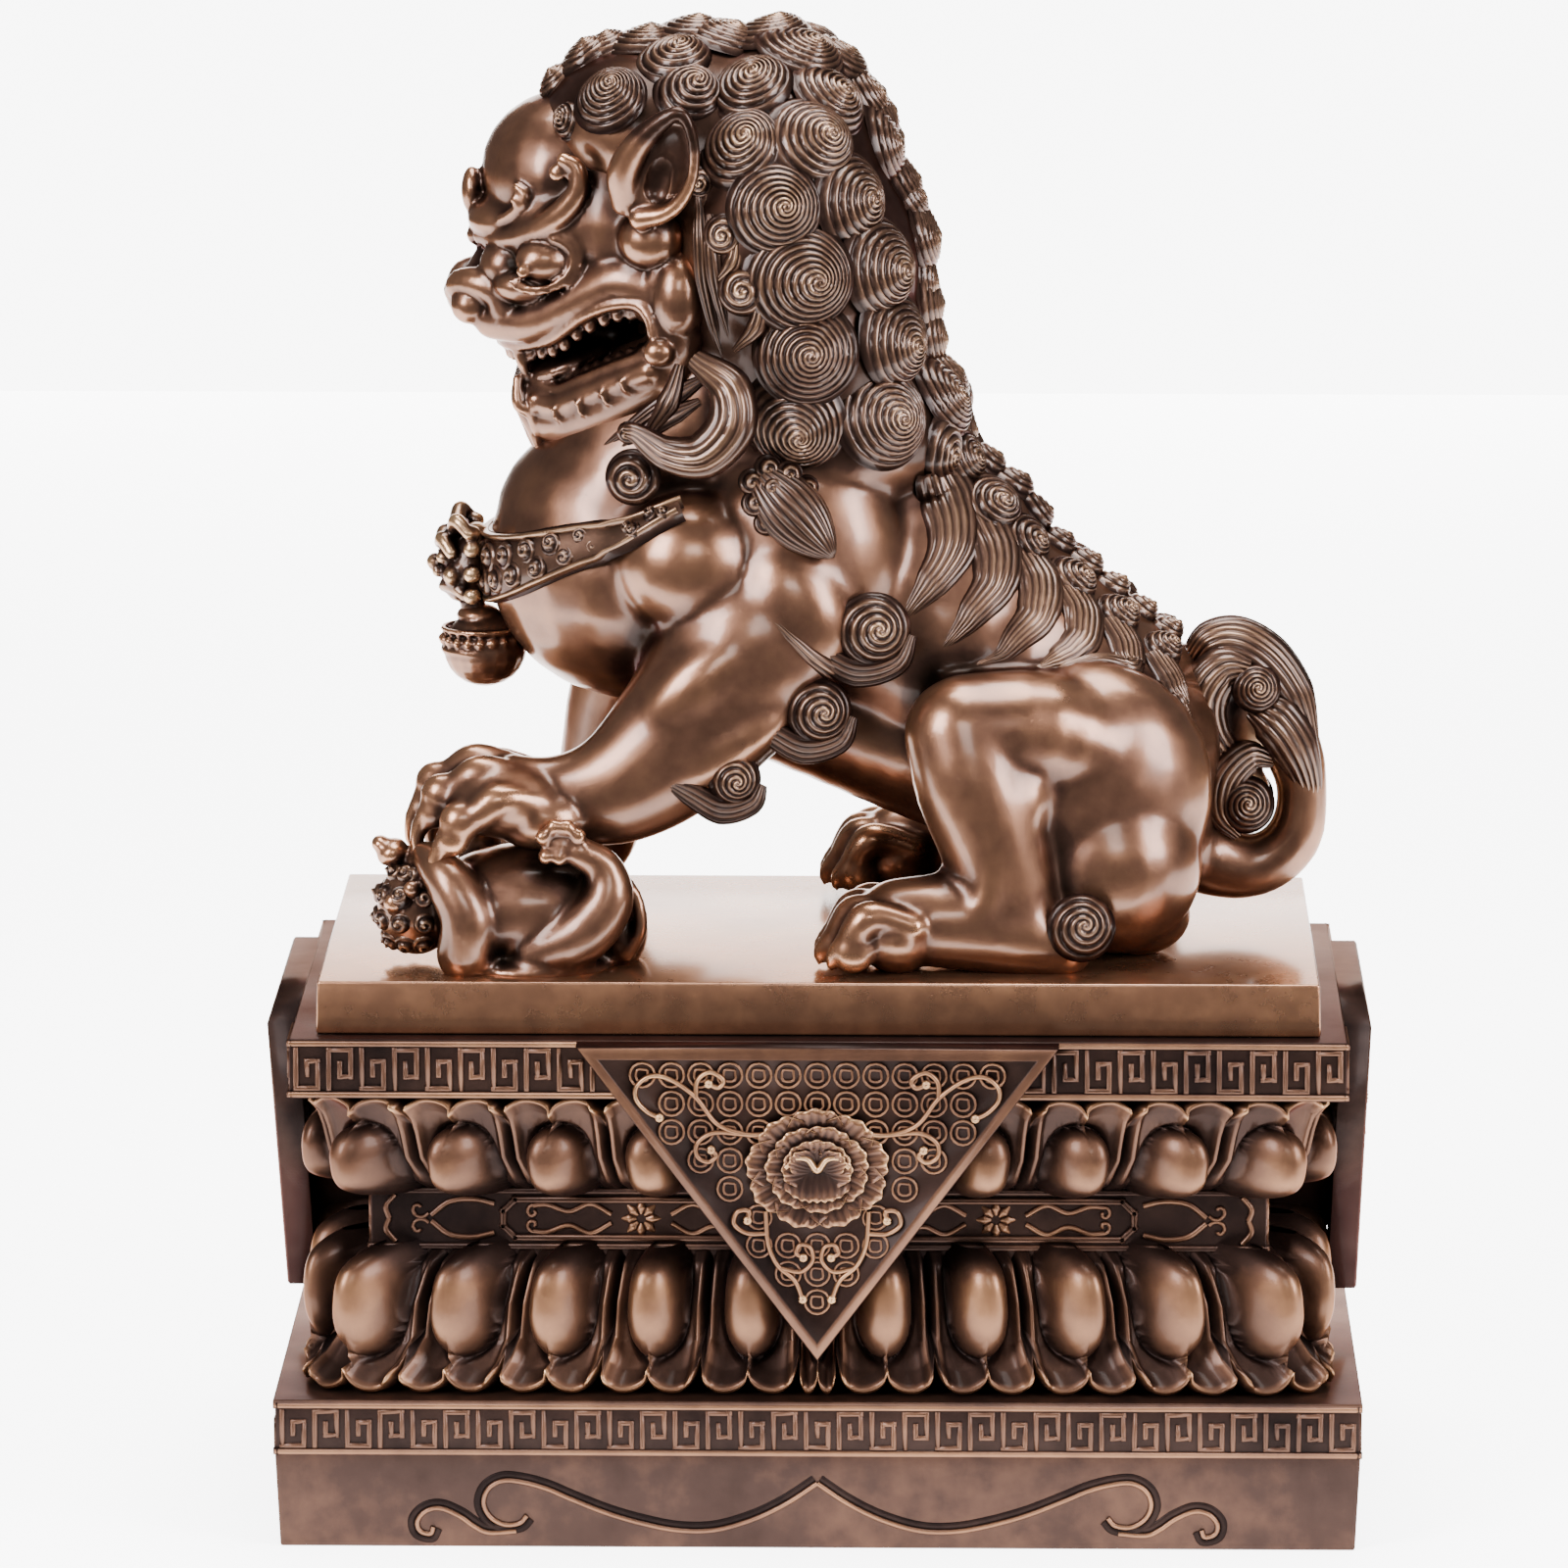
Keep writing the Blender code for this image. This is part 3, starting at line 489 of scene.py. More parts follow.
MANE_SEATS = ((-80, 487, 9.3), (-61, 495, 10.2), (-32, 497, 12), (-7, 489, 11.5), (18, 478, 10), (-91, 479, 7.6), (-70, 476, 11.2),
              (-50, 488, 9.4), (-24, 480, 11), (3, 476, 10.4), (-85, 467, 6), (-44, 479, 8), (-27, 462, 10.6), (-3, 464, 11.8),
              (20, 459, 10.5), (32, 442, 9), (-15, 443, 11.2), (10, 444, 11.8), (33, 427, 10.2), (-7, 420, 12.7), (19, 422, 12.7),
              (41, 411, 8.6), (-5, 395, 12.7), (24, 398, 12.7), (41, 394, 10), (-9, 371, 12.7), (20, 373, 13), (40, 375, 11.5),
              (45, 356, 11))
MANE_RIDGE = ((-72, 488, 9), (-46, 499, 11), (-19, 498, 12), (6, 489, 11), (26, 472, 11), (36, 451, 11), (42, 430, 11), (46, 408, 11),
              (48, 386, 11), (53, 364, 10))


class Relief:
    """Gathers many grids of points into one piece, each point with its own wear."""

    def __init__(self):
        self.points = []
        self.faces = []
        self.wear_and_shade = []

    def grid(self, points, wear_and_shade, around=False):
        """Adds a rows by columns by 3 array of points in millimetres, closed round the columns if asked."""
        rows, columns = points.shape[:2]
        first = sum(len(p) for p in self.points)
        index = np.arange(rows * columns).reshape(rows, columns) + first
        last = index if around else index[:, :-1]
        after = np.roll(index, -1, axis=1) if around else index[:, 1:]
        self.faces.append(np.stack([last[:-1], after[:-1], after[1:], last[1:]], axis=-1).reshape(-1, 4))
        self.points.append(points.reshape(-1, 3))
        self.wear_and_shade.append(np.broadcast_to(wear_and_shade, (rows, columns)).reshape(-1))

    def shown(self, name, node, material):
        mesh = bpy.data.meshes.new(name)
        mesh.from_pydata((np.concatenate(self.points) * MM).tolist(), [], np.concatenate(self.faces).tolist())
        made = bpy.data.objects.new(name, mesh)
        bpy.context.scene.collection.objects.link(made)
        return shown(made, node, material, np.concatenate(self.wear_and_shade))


def snail(relief, place, normal, lean, radius, rise, hand=1, ridges=7, out=36, around=40, tilt=0.3, arms=1):
    """A domed spiral curl seated at a place in millimetres, its nub carried off centre along lean."""
    normal = np.array(normal) / np.linalg.norm(normal)
    lean = np.array(lean, dtype=float)
    lean -= normal * lean.dot(normal)
    lean /= np.linalg.norm(lean) + 1e-9
    across = np.cross(normal, lean)
    s = np.linspace(0.015, 1, out)[:, None]
    a = np.linspace(0, 2 * math.pi, around, endpoint=False)[None, :]
    phase = ridges * s**0.85 + arms * hand * a / (2 * math.pi)
    ridge = np.abs(np.sin(math.pi * phase)) ** 0.8
    show = np.clip(s / 0.16, 0, 1) * np.clip((1.05 - s) / 0.2, 0, 1)
    height = rise * (1 - s**2.4) - 1.6 + (ridge - 0.7) * 1.25 * show + 0.9 * np.exp(-((s / 0.12) ** 2))
    shift = tilt * radius * (1 - s) ** 0.9
    flat = (s * radius * np.cos(a) + shift)[..., None] * lean + (s * radius * np.sin(a))[..., None] * across
    points = np.array(place) + flat + height[..., None] * normal
    wear_and_shade = 0.02 + 0.6 * ridge**1.5 * show + 0.32 * (1 - s) ** 1.5 * ridge + 0.35 * np.exp(-((s / 0.16) ** 2))
    relief.grid(points, np.clip(wear_and_shade, 0, 1), True)


def seated(skin, guess):
    """The nearest place on a skin and its outward direction, in millimetres."""
    place, normal, _, _ = skin.find_nearest(Vector(guess) * MM)
    return np.array(place) / MM, np.array(normal)


def seen_from_side(skin, x, z, side):
    """Where a level ray from one side meets a skin at that x and z, and the skin's direction there."""
    place, normal, _, _ = skin.ray_cast(Vector((x, side * 150, z)) * MM, Vector((0, -side, 0)))
    return seated(skin, (x, 0, z)) if place is None else (np.array(place) / MM, np.array(normal))


manes = {-1: Relief(), 1: Relief()}
chance = np.random.default_rng(7)
for i, (x, z, r) in enumerate(MANE_SEATS + MANE_RIDGE):
    for side in SIDES if i < len(MANE_SEATS) else (1,):
        place, normal = seen_from_side(head_skin, x, z, side) if i < len(MANE_SEATS) else seated(head_skin, (x, 0, z))
        lean = np.array((0.6 + 0.01 * (x + 20), side * 0.2, 0.008 * (z - 430)))
        wide = r * (1.42 if x > -66 else 1.2) + chance.uniform(-0.4, 0.8)
        snail(manes[side], place, normal, lean, wide, 0.62 * r + 1.4, side if i % 3 else -side, round(0.76 * r), 48, 40,
              0.3 + chance.uniform(-0.1, 0.1), 2 + i % 2)
manes[-1].shown("mane_left", "guardian_lion", HAIR)
manes[1].shown("mane_right", "guardian_lion", HAIR)


# Locks of hair: ribbons with ridges along them. The long side locks, the chain behind the cheeks,
# the beard, the spine's curls with flames below, and the curls behind the legs.

def ribbon(relief, path, width, height, ups, ribs=4, count=None, wear_and_shade=0.2):
    """A ribbed band along a path of (x, y, z), its half width and height given at each stage."""
    count = count or max(12, len(path) * 7)
    shares = np.linspace(0, 1, count)
    line = spline(path, shares)
    w = np.interp(shares, np.linspace(0, 1, len(width)), width)[:, None, None]
    h = np.interp(shares, np.linspace(0, 1, len(height)), height)[:, None, None]
    up = spline(ups, shares) if np.ndim(ups) == 2 else np.broadcast_to(np.array(ups, dtype=float), line.shape)
    run = np.gradient(line, axis=0)
    run /= np.linalg.norm(run, axis=1, keepdims=True) + 1e-9
    aside = np.cross(run, up)
    aside /= np.linalg.norm(aside, axis=1, keepdims=True) + 1e-9
    up = np.cross(aside, run)
    u = np.linspace(-1, 1, 5 * ribs + 4 if ribs else 9)[None, :, None]
    rib = np.abs(np.sin(math.pi * ribs * (u + 1) / 2)) ** 0.6 if ribs else 1 + 0 * u
    arch = np.sqrt(np.clip(1 - u**2, 0, 1))
    depth = np.minimum(0.9, h * 0.3)
    points = line[:, None] + aside[:, None] * (u * w) + up[:, None] * (h * arch + depth * (rib - 1) * np.minimum(1, 3 * arch) - 0.6)
    relief.grid(points, np.clip(wear_and_shade + 0.55 * rib * arch, 0, 1)[..., 0] + 0 * w[..., 0])


def draped(relief, skin, path, width, height, ribs=4, wear_and_shade=0.2, lift=0.0, ease=0):
    """A ribbon laid along the nearest places on a skin, its dips evened out in ease rounds."""
    line = spline(path, np.linspace(0, 1, max(8, 4 * len(path))))
    seats = [seated(skin, p) for p in line]
    places = np.array([p + n * lift for p, n in seats])
    for _ in range(ease):
        places[1:-1] = (places[:-2] + 2 * places[1:-1] + places[2:]) / 4
    ribbon(relief, places, width, height, np.array([n for _, n in seats]), ribs, len(line) * 2, wear_and_shade)


def curled(centre, start, turns, reach, side, drop=0.0, count=14, end=0.15):
    """Points of a flat spiral in the XZ plane that winds in to its centre."""
    points = []
    for share in np.linspace(0, 1, count):
        angle = math.radians(start) + 2 * math.pi * turns * share
        r = reach * (1 - (1 - end) * share)
        points.append((centre[0] + r * math.cos(angle), centre[1] + side * drop * share, centre[2] + r * math.sin(angle)))
    return points


locks = Relief()
for side in SIDES:
    up = (0, side, 0)
    ribbon(locks, ((-41, side * 55, 392), (-30, side * 63, 384), (-29, side * 66, 372), (-38, side * 66, 362),
                   (-50, side * 63, 362), (-60, side * 60, 368), (-64, side * 58, 369)),
           (4, 7.5, 8.5, 8, 6, 3.5, 2.5), (4, 6, 7, 7, 6, 4, 3), up, 5)
    snail(locks, (-63, side * 58, 368), up, (-1, 0, 0), 4, 4, side, 2, 10, 16)
    ribbon(locks, ((-46, side * 54, 390), (-50, side * 58, 378), (-58, side * 56, 366)), (2, 4, 1), (3, 4, 1), up, 3)
    snail(locks, (-62, side * 56, 353), (-0.2, side, 0.1), (0, 0, -1), 9.5, 6, side, 3, 22, 30, 0.1)
    for x, y, z, r in ((-39.5, 57, 450, 5.5), (-32, 60, 434, 7), (-25.5, 63, 416, 9)):
        y = abs(seen_from_side(head_skin, x, z, side)[0][1]) + 1.5
        snail(locks, (x, side * y, z), (-0.25, side, 0.1), (1, 0, -1), r, 5, -side, 3, 18, 24, 0.1)
        ribbon(locks, ((x + r * 0.7, side * y, z - r * 0.4), (x + r * 0.5, side * y, z - r * 1.4), (x - r * 0.3, side * (y - 2), z - r * 2.3)),
               (2, 3.4, 1), (2.5, 3, 1), up, 3)
    for path in (((-40, 57, 446), (-39, 60, 432), (-38, 62, 418), (-35, 64, 402), (-32, 64, 390)),
                 ((-36, 58, 440), (-35, 61, 426), (-33, 63, 412), (-30, 65, 398)),
                 ((-38, 56, 384), (-50, 53, 376), (-62, 48, 367), (-72, 40, 360)),
                 ((-40, 54, 376), (-54, 52, 368), (-66, 47, 360))):
        seats = [seen_from_side(head_skin, x, z, side)[0] for x, _, z in path]
        ribbon(locks, seats, (1.5, 3.6, 3.6, 2.4, 0.6), (2, 3.4, 3.4, 2.4, 0.6), (-0.3, side, 0), 4, None, 0.05)
    for j in range(4):
        share = j / 3
        x, y, z = -86 + 14 * share, 4 + 16 * share, 355 - 4 * share
        ribbon(locks, ((x + 6, side * y, z + 6), (x + 1, side * (y + 2), z - 2), (x - 4, side * (y + 2), z - 9 - 3 * (j % 2))),
               (4, 4.5, 1), (4, 5, 1.5), (-0.6, side * 0.8, 0), 3)
        snail(locks, (x - 2, side * (y + 3), z - 10), (-0.5, side, 0), (0, 0, -1), 4.2, 3.5, side, 2, 10, 16, 0.1)
for i in range(9):
    share = i / 8
    middle = np.array((55 + 66 * share, 0, 352 - 72 * share))
    place, normal = seated(body_skin, middle)
    snail(locks, place, normal, (1, 0, -1), 10.5 - 4 * share, 6.5, 1, 5, 24, 30, 0.35, 2)
for i in range(6):
    share = i / 5
    radius = 12 - 4.8 * share
    for side in SIDES:
        beside = np.array((47 + 68 * share, side * (26 - 8 * share), 358 - 67 * share))
        place, normal = seated(body_skin, beside)
        snail(locks, place, normal, (1, side * 0.6, -0.4), radius * 1.1, 7.5, side, 6, 30, 34, 0.3, 2)
        length = 50 - 18 * share
        fall = [beside + np.array((-6 - 12 * t + 9 * math.sin(3.6 * t), side * (2 + 15 * t), -6 - length * t)) for t in (0, 0.25, 0.5, 0.75, 1)]
        draped(locks, body_skin, fall, (radius * 0.9, radius * 0.95, radius * 0.8, radius * 0.5, 0.4), (3, 4.4, 3.8, 2.6, 0.3), 7)
for side in SIDES:
    steps = (0, 0, 0) if side < 0 else (24, 35, 25)
    for (x, y, z, r, lean), step in zip((
            (18, 61, 303, 12.5, (1, 0, 0.2)), (0, 64, 276, 11, (1, 0, -0.2)), (-28, 68, 254, 9, (0.6, 0, -1)),
            (87, 78, 206, 11.5, (0.3, 0, 1))), steps + (0,)):
        x -= step
        snail(locks, (x, side * y, z), (0.12, side, 0.1), lean, r, 7.5, side, 5, 30, 36, 0.15, 2)
        if x > 50:
            continue
        dive = 0 if side < 0 else 5
        ribbon(locks, ((x + r, side * (y - 2), z - 2), (x + 0.6 * r, side * (y - 1), z - 0.9 * r), (x - 0.5 * r, side * (y - 1), z - 1.15 * r),
                       (x - 1.7 * r, side * (y + 1 - dive), z - 0.5 * r), (x - 2.9 * r, side * (y + 2 - 2.6 * dive), z + 0.1 * r)),
               (2, 4.4, 5.4, 4, 0.6), (2, 4, 4, 2.4, 0.3), (0, side, 0), 5, None, 0.05)
    for path, step in zip((((20, 50, 293), (8, 58, 288), (-4, 58, 296), (-16, 60, 306)), ((4, 55, 266), (-6, 60, 262), (-18, 60, 270)),
                           ((-20, 56, 246), (-30, 58, 244), (-40, 60, 250))), steps):
        draped(locks, body_skin, [(x - step, side * y, z) for x, y, z in path], (4, 4.5, 3, 0.8), (3, 3.4, 2.4, 0.4), 3)
locks.shown("hair_locks", "guardian_lion", HAIR)


# The tail's flame: ribbed locks that rise from the tube and roll over into curls.

flame = Relief()
for side in SIDES:
    up = (0.15, side, 0.1)
    for path, widths, heights, ups in (
            (((137, 6, 248), (129, 8, 260), (128, 10, 272), (135, 11, 281), (144, 12, 281)), (6, 8.5, 9.5, 8, 4), (3, 6, 7, 6, 3), up),
            (((145, 8, 268), (152, 10, 264), (159, 8, 254), (164, 5, 240), (164, 4, 230)), (5, 9, 8.5, 5, 1.5), (3, 6, 6, 4, 2), up),
            (((122, 2, 280), (130, 5, 289), (140, 6, 290.5), (151, 6, 284), (160, 5, 271), (166, 3, 254)), (3, 7, 8.5, 8.5, 7, 2),
             (2, 5, 5, 5, 5, 2), (0.25, side * 0.7, 0.7)),
            (((152, 5, 249), (144, 8, 251), (136, 9, 243), (135, 9, 232), (141, 8, 224)), (3, 6, 7, 6, 3), (2, 5, 6, 5, 2), up)):
        ribbon(flame, [(x, side * y, z) for x, y, z in path], widths, heights, ups, 6)
    for x, y, z, r in ((146, 14, 275, 8.5), (143, 10, 234.5, 10)):
        snail(flame, (x, side * y, z), up, (-0.4, 0, 0.6), r, 8, side, 6, 30, 36, 0.1, 2)
clay = []
limb(clay, ((132, 0, 262, 9), (134, 0, 275, 10), (146, 0, 276, 10), (157, 0, 258, 7.5)))
lump(clay, (146, 0, 262), (12, 10, 16))
lump(clay, (142, 0, 236), (9.5, 9, 12))
core = fused(moulded("tail_core", clay), 1.6, 4)
shown(core, "guardian_lion", HAIR, wear_and_shade_of(core.data, base=0.3))
flame.shown("tail_flame", "guardian_lion", HAIR)


# The cub on its back under the paw: body, limbs, toe pads and a curly head.

clay = []
lump(clay, (-98, -58, 209), (34, 23, 21))
lump(clay, (-78, -55, 209), (16, 20, 19))
lump(clay, (-67, -52, 199), (10, 16, 13))
lump(clay, (-134, -57, 208), (13.5, 14, 16))
lump(clay, (-95, -63, 190), (27, 20, 5))
limb(clay, ((-130, -64, 227, 5.5), (-123, -73, 221, 8), (-116, -76, 208, 9.5), (-117, -74, 196, 10)))
limb(clay, ((-93, -72, 196, 9.5), (-79, -75, 203, 10.5), (-70, -75, 214, 9), (-71, -75, 225, 6.5), (-79, -77, 231, 5.5)))
cub_flesh = fused(moulded("cub_flesh", clay), 1.5, 4)
clay = []
limb(clay, ((-118, -44, 214, 7), (-112, -42, 226, 6)))
lump(clay, (-142, -58, 227), (5.5, 7, 4.5), (0, -30, 0))
lump(clay, (-146, -58, 230), (3, 4.5, 2.8))
lump(clay, (-134.5, -59, 226), (2.4, 5.5, 4.5), (0, 20, 0))
lump(clay, (-84.5, -77, 232.5), (7, 4.4, 5.4))
for x, z in ((-91, 236.5), (-87.3, 240), (-83, 239.8), (-79.3, 237), (-90, 230), (-85.5, 229.5)):
    lump(clay, (x, -79.5, z), (2.7, 3, 2.8))
limb(clay, ((-64, -64, 194, 3), (-59.5, -66, 203, 2.6), (-60.5, -66, 213, 2.2), (-65, -66, 221, 1.8)))
lump(clay, (-141, -69.5, 212), (3.4, 3, 3.6))
lump(clay, (-135, -70.5, 217), (3, 2.4, 3))
cub = fused(moulded("cub", clay, [cub_flesh.data]), 1.1, 2)
bpy.data.objects.remove(cub_flesh)
shown(cub, "guardian_lion", POLISHED, wear_and_shade_of(cub.data, (6, 40), (0.4, 0.06), 0.5))
cub_skin = skin_of(cub)
tufts = Relief()
for i in range(6):
    for j in range(4):
        around, down = math.radians(-75 + 36 * i), math.radians(-45 + 36 * j)
        out = np.array((-math.cos(down) * math.cos(around), -math.cos(down) * math.sin(around), math.sin(down)))
        place, normal = seated(cub_skin, np.array((-134, -57, 207)) + out * 15)
        snail(tufts, place, normal, (-1, 0, 0), 4.6, 3.6, 1, 2, 10, 16, 0.1)
tufts.shown("cub_curls", "guardian_lion", HAIR)


# The collar: a strap round the chest with raised edges and scrolls, an animal mask and a bell in front,
# and an acorn-shaped tassel on each flank.

strap = Relief()
strap_turns = np.linspace(-1.75, 1.75, 17)
strap_path = np.array([(-58 - 62 * math.cos(a), 62 * math.sin(a), 345 - 31 * math.cos(a)) for a in strap_turns])
strap_half = 6.0 + 6.5 * np.cos(strap_turns / 1.15) ** 2
draped(strap, body_skin, strap_path, strap_half, (3.4, 3.4), 0, 0.0, 0.6, 12)
for drop in SIDES:
    edge = strap_path + np.outer(strap_half * drop, (0, 0, 1))
    draped(strap, body_skin, edge, (1.6, 1.6), (4.2, 4.2), 0, 0.3, 0.7, 12)
for i in range(-8, 9):
    for swirl in SIDES:
        a = i * 0.2 + 0.05 * swirl
        half = 6.0 + 6.5 * math.cos(a / 1.15) ** 2
        centre = np.array((-58 - 62 * math.cos(a), 62 * math.sin(a), 345 - 31 * math.cos(a) + swirl * half * 0.38))
        place, normal = seated(body_skin, centre)
        snail(strap, place + normal * 3.9, normal, (0, 0, swirl), half * 0.46, 2.4, swirl, 2, 14, 20, 0.2)
strap.shown("collar_strap", "guardian_lion", HAIR)
clay = []
lump(clay, (-119, 0, 315), (8, 13, 14), (0, 18, 0))
for side in SIDES:
    limb(clay, ((-128, side * 2, 322, 2.4), (-127, side * 8, 324, 2.6), (-124, side * 12, 320, 2.2)))
    lump(clay, (-127, side * 5.5, 317.5), (2.6, 2.8, 2.4))
    lump(clay, (-124, side * 10, 312), (3, 3.6, 3.4))
    limb(clay, ((-127, side * 2, 307, 2), (-124, side * 8, 308, 2.2), (-119, side * 12, 305, 1.8)))
    limb(clay, ((-123, side * 6, 327, 3), (-122, side * 13, 331, 2.6), (-118, side * 16, 327, 2)))
    for i in range(4):
        angle = math.radians(-50 + 42 * i)
        lump(clay, (-117, side * (13 + 2.6 * math.cos(angle)), 315 + 12 * math.sin(angle)), (3, 2.8, 3))
    lump(clay, (-129, side * 2.6, 312), (2, 2, 1.8))
lump(clay, (-130, 0, 315), (3, 3.8, 3))
limb(clay, ((-118, 0, 304, 4), (-117, 0, 298, 4.5)))
mask = fused(moulded("collar_mask", clay), 0.8, 1)
shown(mask, "guardian_lion", HAIR, wear_and_shade_of(mask.data, (6, 30), (0.6, 0.2), 0.45))
clay = []
lump(clay, (-113.5, 0, 285.5), (14, 14, 12.8))
lump(clay, (-115.5, 0, 297), (7.5, 7.5, 3.8))
for a in np.linspace(0, 2 * math.pi, 20, endpoint=False):
    lump(clay, (-114.5 + 13.2 * math.cos(a), 13.2 * math.sin(a), 289), (1.6, 1.6, 1.7))
for z in (292.6, 285.4):
    limb(clay, [(-114.5 + 13 * math.cos(a), 13 * math.sin(a), z, 0.9) for a in np.linspace(0, 2 * math.pi, 19)])
bell = fused(moulded("collar_bell", clay), 0.75, 1)
shown(bell, "guardian_lion", POLISHED, wear_and_shade_of(bell.data, (6, 30), (0.6, 0.2)))
tassels = Relief()
for side in SIDES:
    place, normal = seated(body_skin, (-10, side * 62, 344))
    hang = np.array((0.66, 0.0, -0.76))
    hang -= normal * hang.dot(normal)
    hang /= np.linalg.norm(hang)
    across = np.cross(normal, hang)
    s = np.linspace(0, 1, 34)[:, None]
    a = np.linspace(0, 2 * math.pi, 132, endpoint=False)[None, :]
    girth = 10.8 * np.sin(math.pi * np.clip(s * 0.86 + 0.14, 0, 1)) ** 0.7
    rib = np.abs(np.cos(11 * a)) ** 0.6
    r = girth * (1 - 0.07 * (1 - rib))
    points = (place + normal * 1.5 + (s * 36 - 14)[..., None] * hang + (r * np.cos(a))[..., None] * across
              + (0.75 * r * np.sin(a))[..., None] * normal)
    tassels.grid(points, 0.12 + 0.5 * rib + 0 * s, True)
    for down, lift, spreads, size in ((-2, 5.6, (-9, -3, 3, 9), 4.2), (-9, 7, (-7.5, 0, 7.5), 4.6), (-15, 5, (-3.5, 3.5), 4.6)):
        for spread in spreads:
            leaf = place + hang * down + across * spread + normal * (lift - 0.05 * spread**2)
            snail(tassels, leaf, normal, hang, size, 3.0, 1, 2, 14, 20, 0.3)
tassels.shown("collar_tassels", "guardian_lion", HAIR)


# The slab cast with the lioness, its edges eased.

def block(half_x, half_y, low, high, spread, bevel, name, node, material, wear_and_shade):
    """A bevelled block, its foot narrower than its top by spread, its edges bevelled in three segments and all its
    corners given one wear value.
    """
    shape = bmesh.new()
    bmesh.ops.create_cube(shape, size=1.0)
    for corner in shape.verts:
        foot = spread if corner.co.z < 0 else 0.0
        corner.co.x = math.copysign(half_x - foot, corner.co.x) * MM
        corner.co.y = math.copysign(half_y - foot, corner.co.y) * MM
        corner.co.z = (high if corner.co.z > 0 else low) * MM
    bmesh.ops.bevel(shape, geom=shape.edges[:], offset=bevel * MM, affect="EDGES", segments=3, profile=0.5, material=-1)
    bmesh.ops.recalc_face_normals(shape, faces=shape.faces[:])
    mesh = bpy.data.meshes.new(name)
    shape.to_mesh(mesh)
    shape.free()
    made = bpy.data.objects.new(name, mesh)
    bpy.context.scene.collection.objects.link(made)
    made = shown(made, node, material, np.full(len(mesh.vertices), wear_and_shade))
    made.data.set_sharp_from_angle(angle=math.radians(50))
    return made


SLAB_TOP, CORNICE_TOP = 189.6, 171.7
block(165.4, 89.2, CORNICE_TOP + 0.3, SLAB_TOP, -0.5, 0.8, "slab", "guardian_lion", POLISHED, 0.82)


# The pedestal's base and cornice: plain blocks whose bands carry a running key fret,
# and the bracket-shaped scroll on the base's faces.

PATINA = bronze(
    "patinated_bronze",
    ((0.0, (0.006, 0.004, 0.004)), (0.3, (0.026, 0.014, 0.011)), (0.55, (0.085, 0.041, 0.025)),
     (0.8, (0.19, 0.094, 0.048)), (1.0, (0.4, 0.24, 0.12))),
    0.33, 0.55, 0.13, 0.22)
BASE_HALF_X, BASE_HALF_Y, BASE_TOP = 180.0, 102.0, 50.8
FRET_LOW = 31.7
CORNICE_HALF_X, CORNICE_HALF_Y, CORNICE_LOW = 175.2, 98.0, 151.8
FACINGS = ((0, "long"), (90, "short"), (180, "long"), (270, "short"))
KEY = (((0, 0), (0, 4)), ((0, 4), (4, 4)), ((4, 4), (4, 1.2)), ((4, 1.2), (2, 1.2)), ((2, 1.2), (2, 2.6)))


def faced(points, facing, reach):
    """Turns points given as (along, proud, up) on the front face to the face that looks that way."""
    points = np.array(points, dtype=float)
    turn = math.radians(facing)
    x, y = points[..., 0], -reach - points[..., 1]
    return np.stack([x * math.cos(turn) - y * math.sin(turn), x * math.sin(turn) + y * math.cos(turn), points[..., 2]], axis=-1)


def bar(relief, a, b, half, proud, facing, reach, top_wear=0.72, foot=-0.6):
    """A straight raised bar with sloping sides between two places on a face."""
    a, b = np.array(a, dtype=float), np.array(b, dtype=float)
    along = (b - a) / (np.linalg.norm(b - a) + 1e-9)
    aside = np.array((-along[1], along[0]))
    rings, wear_and_shade = [], []
    for grow, lift, w in ((half + 0.35, foot, 0.05), (half + 0.12, proud * 0.7, 0.4), (half - 0.2, proud, top_wear),
                          (half * 0.3, proud, top_wear), (0.02, proud, top_wear)):
        corners = [a - along * grow - aside * grow, b + along * grow - aside * grow,
                   b + along * grow + aside * grow, a - along * grow + aside * grow]
        if grow < half * 0.5:
            corners = [a - aside * grow, b - aside * grow, b + aside * grow, a + aside * grow]
        rings.append([(c[0], lift, c[1]) for c in corners])
        wear_and_shade.append([w] * 4)
    relief.grid(faced(rings, facing, reach), np.array(wear_and_shade), True)


def fret(relief, half_length, low, high, facing, reach):
    """A running key between two rails, its units spaced to fill the length."""
    count = round(2 * half_length / 10.8)
    pitch = 2 * half_length / count
    rail = 0.85
    for z in (low + 1.1, high - 1.1):
        bar(relief, (-half_length, z), (half_length, z), rail, 0.9, facing, reach)
    step_x, step_z = pitch / 6, (high - low - 6.4) / 4
    for i in range(count):
        for (x0, z0), (x1, z1) in KEY if i % 2 else [((x0, 4 - z0), (x1, 4 - z1)) for (x0, z0), (x1, z1) in KEY]:
            start = (-half_length + i * pitch + (x0 + 1) * step_x, low + 3.2 + z0 * step_z)
            end = (-half_length + i * pitch + (x1 + 1) * step_x, low + 3.2 + z1 * step_z)
            bar(relief, start, end, 0.72, 0.8, facing, reach, 0.52)


block(BASE_HALF_X, BASE_HALF_Y, 0.0, FRET_LOW + 1, 1.5, 0.8, "base_block", "lotus_pedestal", PATINA, 0.33)
block(BASE_HALF_X - 0.4, BASE_HALF_Y - 0.4, FRET_LOW, BASE_TOP - 0.9, 0.0, 0.3, "base_band", "lotus_pedestal", PATINA, 0.12)
block(BASE_HALF_X + 0.5, BASE_HALF_Y + 0.5, BASE_TOP - 1.6, BASE_TOP - 0.2, 0.0, 0.5, "base_ledge", "lotus_pedestal", PATINA, 0.36)
block(CORNICE_HALF_X - 0.9, CORNICE_HALF_Y - 0.9, CORNICE_LOW, CORNICE_TOP, 0.0, 0.4, "cornice", "lotus_pedestal", PATINA, 0.12)
frets = Relief()
